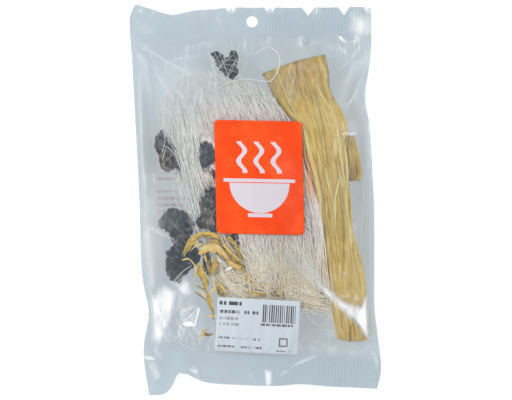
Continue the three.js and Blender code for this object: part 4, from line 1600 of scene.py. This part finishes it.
def makeCore(trees, starch):
    # the inside of the bundle, under the strands: a lens between the guides
    deselectAll()
    bpy.ops.mesh.primitive_uv_sphere_add(segments=128, ring_count=80, radius=1)
    piece = bpy.context.object
    piece.name = "noodle_core"
    guides = noodles["sheaves"]["noodle_bundle"]["guides"]
    places = getPlaces(piece)
    for n, (a, b, c) in enumerate(places):
        across = (0.575 + 0.405 * a) * (len(guides) - 1)
        k = min(int(across), len(guides) - 2)
        one, other = (throughPoints(guide, [0.5 - 0.44 * b])[0] for guide in guides[k : k + 2])
        x, y = one + (other - one) * (across - k)
        roof = roofOver(trees[0], x, y) - 1.5
        if topOf(trees[1], x * mm, y * mm) is not None:
            roof -= 5
        lump = 0.9 * noiseAt(x / 2.2, y / 25, 4) - 1.2 * abs(noiseAt(x / 6, y / 30, 8))
        height = 0.5 + 0.5 * math.copysign(abs(c) ** 0.4, c)
        places[n] = (x, y, 2.4 + (max(3, roof) - 2.4) * height + lump * height)
    setPlaces(piece, places * mm)
    return finishPiece(piece, "noodles", "pack", material=starch)


def makeNoodles(filmTree, contents):
    starch = noodleStarch()
    trees = filmTree, treeOf(*contents)
    makeCore(trees, starch)
    strands = {name: sheaf(shape, trees) for name, shape in noodles["sheaves"].items()}
    strands["noodle_loops"] = makeLoops(trees)
    for name, lines in strands.items():
        finishPiece(strandPiece(name, lines), "noodles", "pack", material=starch)


# Printed panel and paper label: thin sheets that follow the film
panel = {
    "at": (2.3, 15.8), "size": (61.5, 79.5), "corner": 3.2, "lean": -0.022, "slope": -0.02,
    "cell": 1.0, "gap": 0.14, "thickness": 0.08,
}
label = {
    "at": (1.2, -88.4), "size": (58, 38), "corner": 0.6, "lean": 0.053, "slope": -0.051,
    "cell": 1.0, "gap": 0.16, "thickness": 0.14, "barPitch": 1.5,
}


def skinOn(name, shape, filmTree):
    wide, long = shape["size"]
    columns, rows = int(wide / shape["cell"]), int(long / shape["cell"])
    corner = shape["corner"]
    tops = np.empty((rows + 1, columns + 1, 3))
    for j in range(rows + 1):
        for i in range(columns + 1):
            u, v = (i / columns - 0.5) * wide, (j / rows - 0.5) * long
            overU, overV = abs(u) - (wide / 2 - corner), abs(v) - (long / 2 - corner)
            if overU > 0 and overV > 0:
                # the square corner is drawn in to a round one
                reach = max(overU, overV) / math.hypot(overU, overV)
                u -= math.copysign(overU * (1 - reach), u)
                v -= math.copysign(overV * (1 - reach), v)
            x = shape["at"][0] + u + shape["lean"] * v
            y = shape["at"][1] + v + shape["slope"] * u
            z = roofOver(filmTree, x, y, 10)
            place = seenAt(x * mm, y * mm, z * mm)
            z = topOf(filmTree, *place, 10 * mm) / mm + shape["gap"] + shape["thickness"]
            tops[j, i] = (place[0], place[1], z * mm)
    piece = grid(name, columns, rows)
    setPlaces(piece, tops)
    thick = piece.modifiers.new("thickness", "SOLIDIFY")
    thick.thickness = shape["thickness"] * mm
    thick.offset = -1
    applyAll(piece)
    return piece


def printPlace(paint, shape):
    # places on a print in mm from its middle, by its own UV
    u, v, _ = paint.split(paint.add("ShaderNodeTexCoord", output="UV"))
    return (u - 0.5) * shape["size"][0], (v - 0.5) * shape["size"][1]


def boxMask(x, y, centreX, centreY, wide, high):
    return (abs(x - centreX) < wide / 2) * (abs(y - centreY) < high / 2)


def cells(paint, value, size, share):
    # bars of a cell's width, on or off at random
    return paint.chance((value / size).floor()) < share


def panelPrint():
    paint = Finish("panelPrint")
    place = paint.place()
    x, y = printPlace(paint, panel)
    # a bowl with three wisps of steam: half a disc, a rim, a foot and three wavy lines
    bowl = (x * x + (y + 4) * (y + 4) < 21**2) * (y < -4)
    rim = boxMask(x, y, 0, -2.2, 50, 2.4)
    foot = boxMask(x, y, 0, -26.5, 17, 2.6)
    steam = None
    for middle in (-12, 0, 12):
        line = (abs(x - middle - (y * 0.42).sine() * 2.2) < 1.7) * (abs(y - 14) < 11)
        steam = line if steam is None else steam.most(line)
    white = bowl.most(rim).most(foot).most(steam)
    behind = paint.noise(place, 55, 3, 0.6)
    orange = paint.mix(paint.between(behind, 0.42, 0.62), (0.90, 0.062, 0.004), (1.0, 0.090, 0.008))
    colour = paint.mix(white, orange, (0.68, 0.62, 0.67))
    return paint.surface({
        "Base Color": colour,
        "Roughness": paint.between(behind, 0.3, 0.7, 0.2, 0.34),
        "Specular IOR Level": 0.3,
        "Normal": paint.bump(paint.noise(place, 300, 2), 0.04 * mm, 0.5),
    })


# The label's rows: left end, height, length and thickness in mm from its middle, a stroke's width, darkness
labelRows = [
    (-27.5, 15.2, 16, 2.6, 0.9, 0.95), (-27.5, 9.3, 27.5, 2.2, 0.7, 0.9), (-27.5, 4.6, 13.5, 2.0, 0.5, 0.55),
    (-27.5, 0.6, 14.5, 2.0, 0.5, 0.55), (-27.5, -8.9, 12, 1.3, 0.5, 0.85), (-14.5, -9.1, 9, 0.9, 0.5, 0.35),
    (-3, -9.3, 5.5, 1.7, 0.5, 0.85), (-27.5, -14.9, 13, 1.3, 0.5, 0.8), (-11, -15.1, 14.5, 1.6, 0.5, 0.85),
    (1.5, 1.4, 23, 1.7, 0.6, 0.8), (13.5, -16.6, 10, 0.9, 0.4, 0.7),
]


def labelPaper():
    paint = Finish("labelPaper")
    place = paint.place()
    x, y = printPlace(paint, label)
    bar = (x / label["barPitch"]).floor()
    width = paint.chance(bar) * 0.5 + 0.25
    bars = x / label["barPitch"] - bar < width
    ink = boxMask(x, y, 14.2, 9.2, 23.5, 12.4) * bars * 0.92
    for leftEnd, height, length, thick, stroke, dark in labelRows:
        row = boxMask(x, y, leftEnd + length / 2, height, length, thick)
        ink = ink.most(row * cells(paint, x + 7 * height, stroke, 0.6) * dark)
    square = boxMask(x, y, 18.4, -10.4, 6.2, 6.2) * (1 - boxMask(x, y, 18.4, -10.4, 4.2, 4.2))
    ink = ink.most(square * 0.8)
    fibres = paint.noise(place, 900, 3, 0.6)
    paper = paint.mix(fibres, (0.57, 0.62, 0.67), (0.64, 0.69, 0.74))
    return paint.surface({
        "Base Color": paint.mix(ink, paper, (0.035, 0.04, 0.05)),
        "Roughness": paint.between(fibres, 0.3, 0.7, 0.4, 0.55),
        "Normal": paint.bump(fibres, 0.03 * mm, 0.5),
    })


def makePrints(filmTree):
    finishPiece(skinOn("printed_panel", panel, filmTree), "panel_print", "front_panel", material=panelPrint())
    finishPiece(skinOn("price_label", label, filmTree), "label_paper", "paper_label", material=labelPaper())


makeCamera()
makeStudio()
print("studio ready")
bag = makeFilm(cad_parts["pack"])
filmTree = treeOf(bag)
print("film ready", len(bag.data.polygons), "faces")
curd = makeBeancurd(filmTree)
print("beancurd ready")
flakes = makeFungus(filmTree)
print("fungus ready")
buds = makeLily(filmTree)
print("lily buds ready")
makeNoodles(filmTree, [*curd, *flakes, buds])
print("noodles ready")
makePrints(filmTree)
print("prints ready")
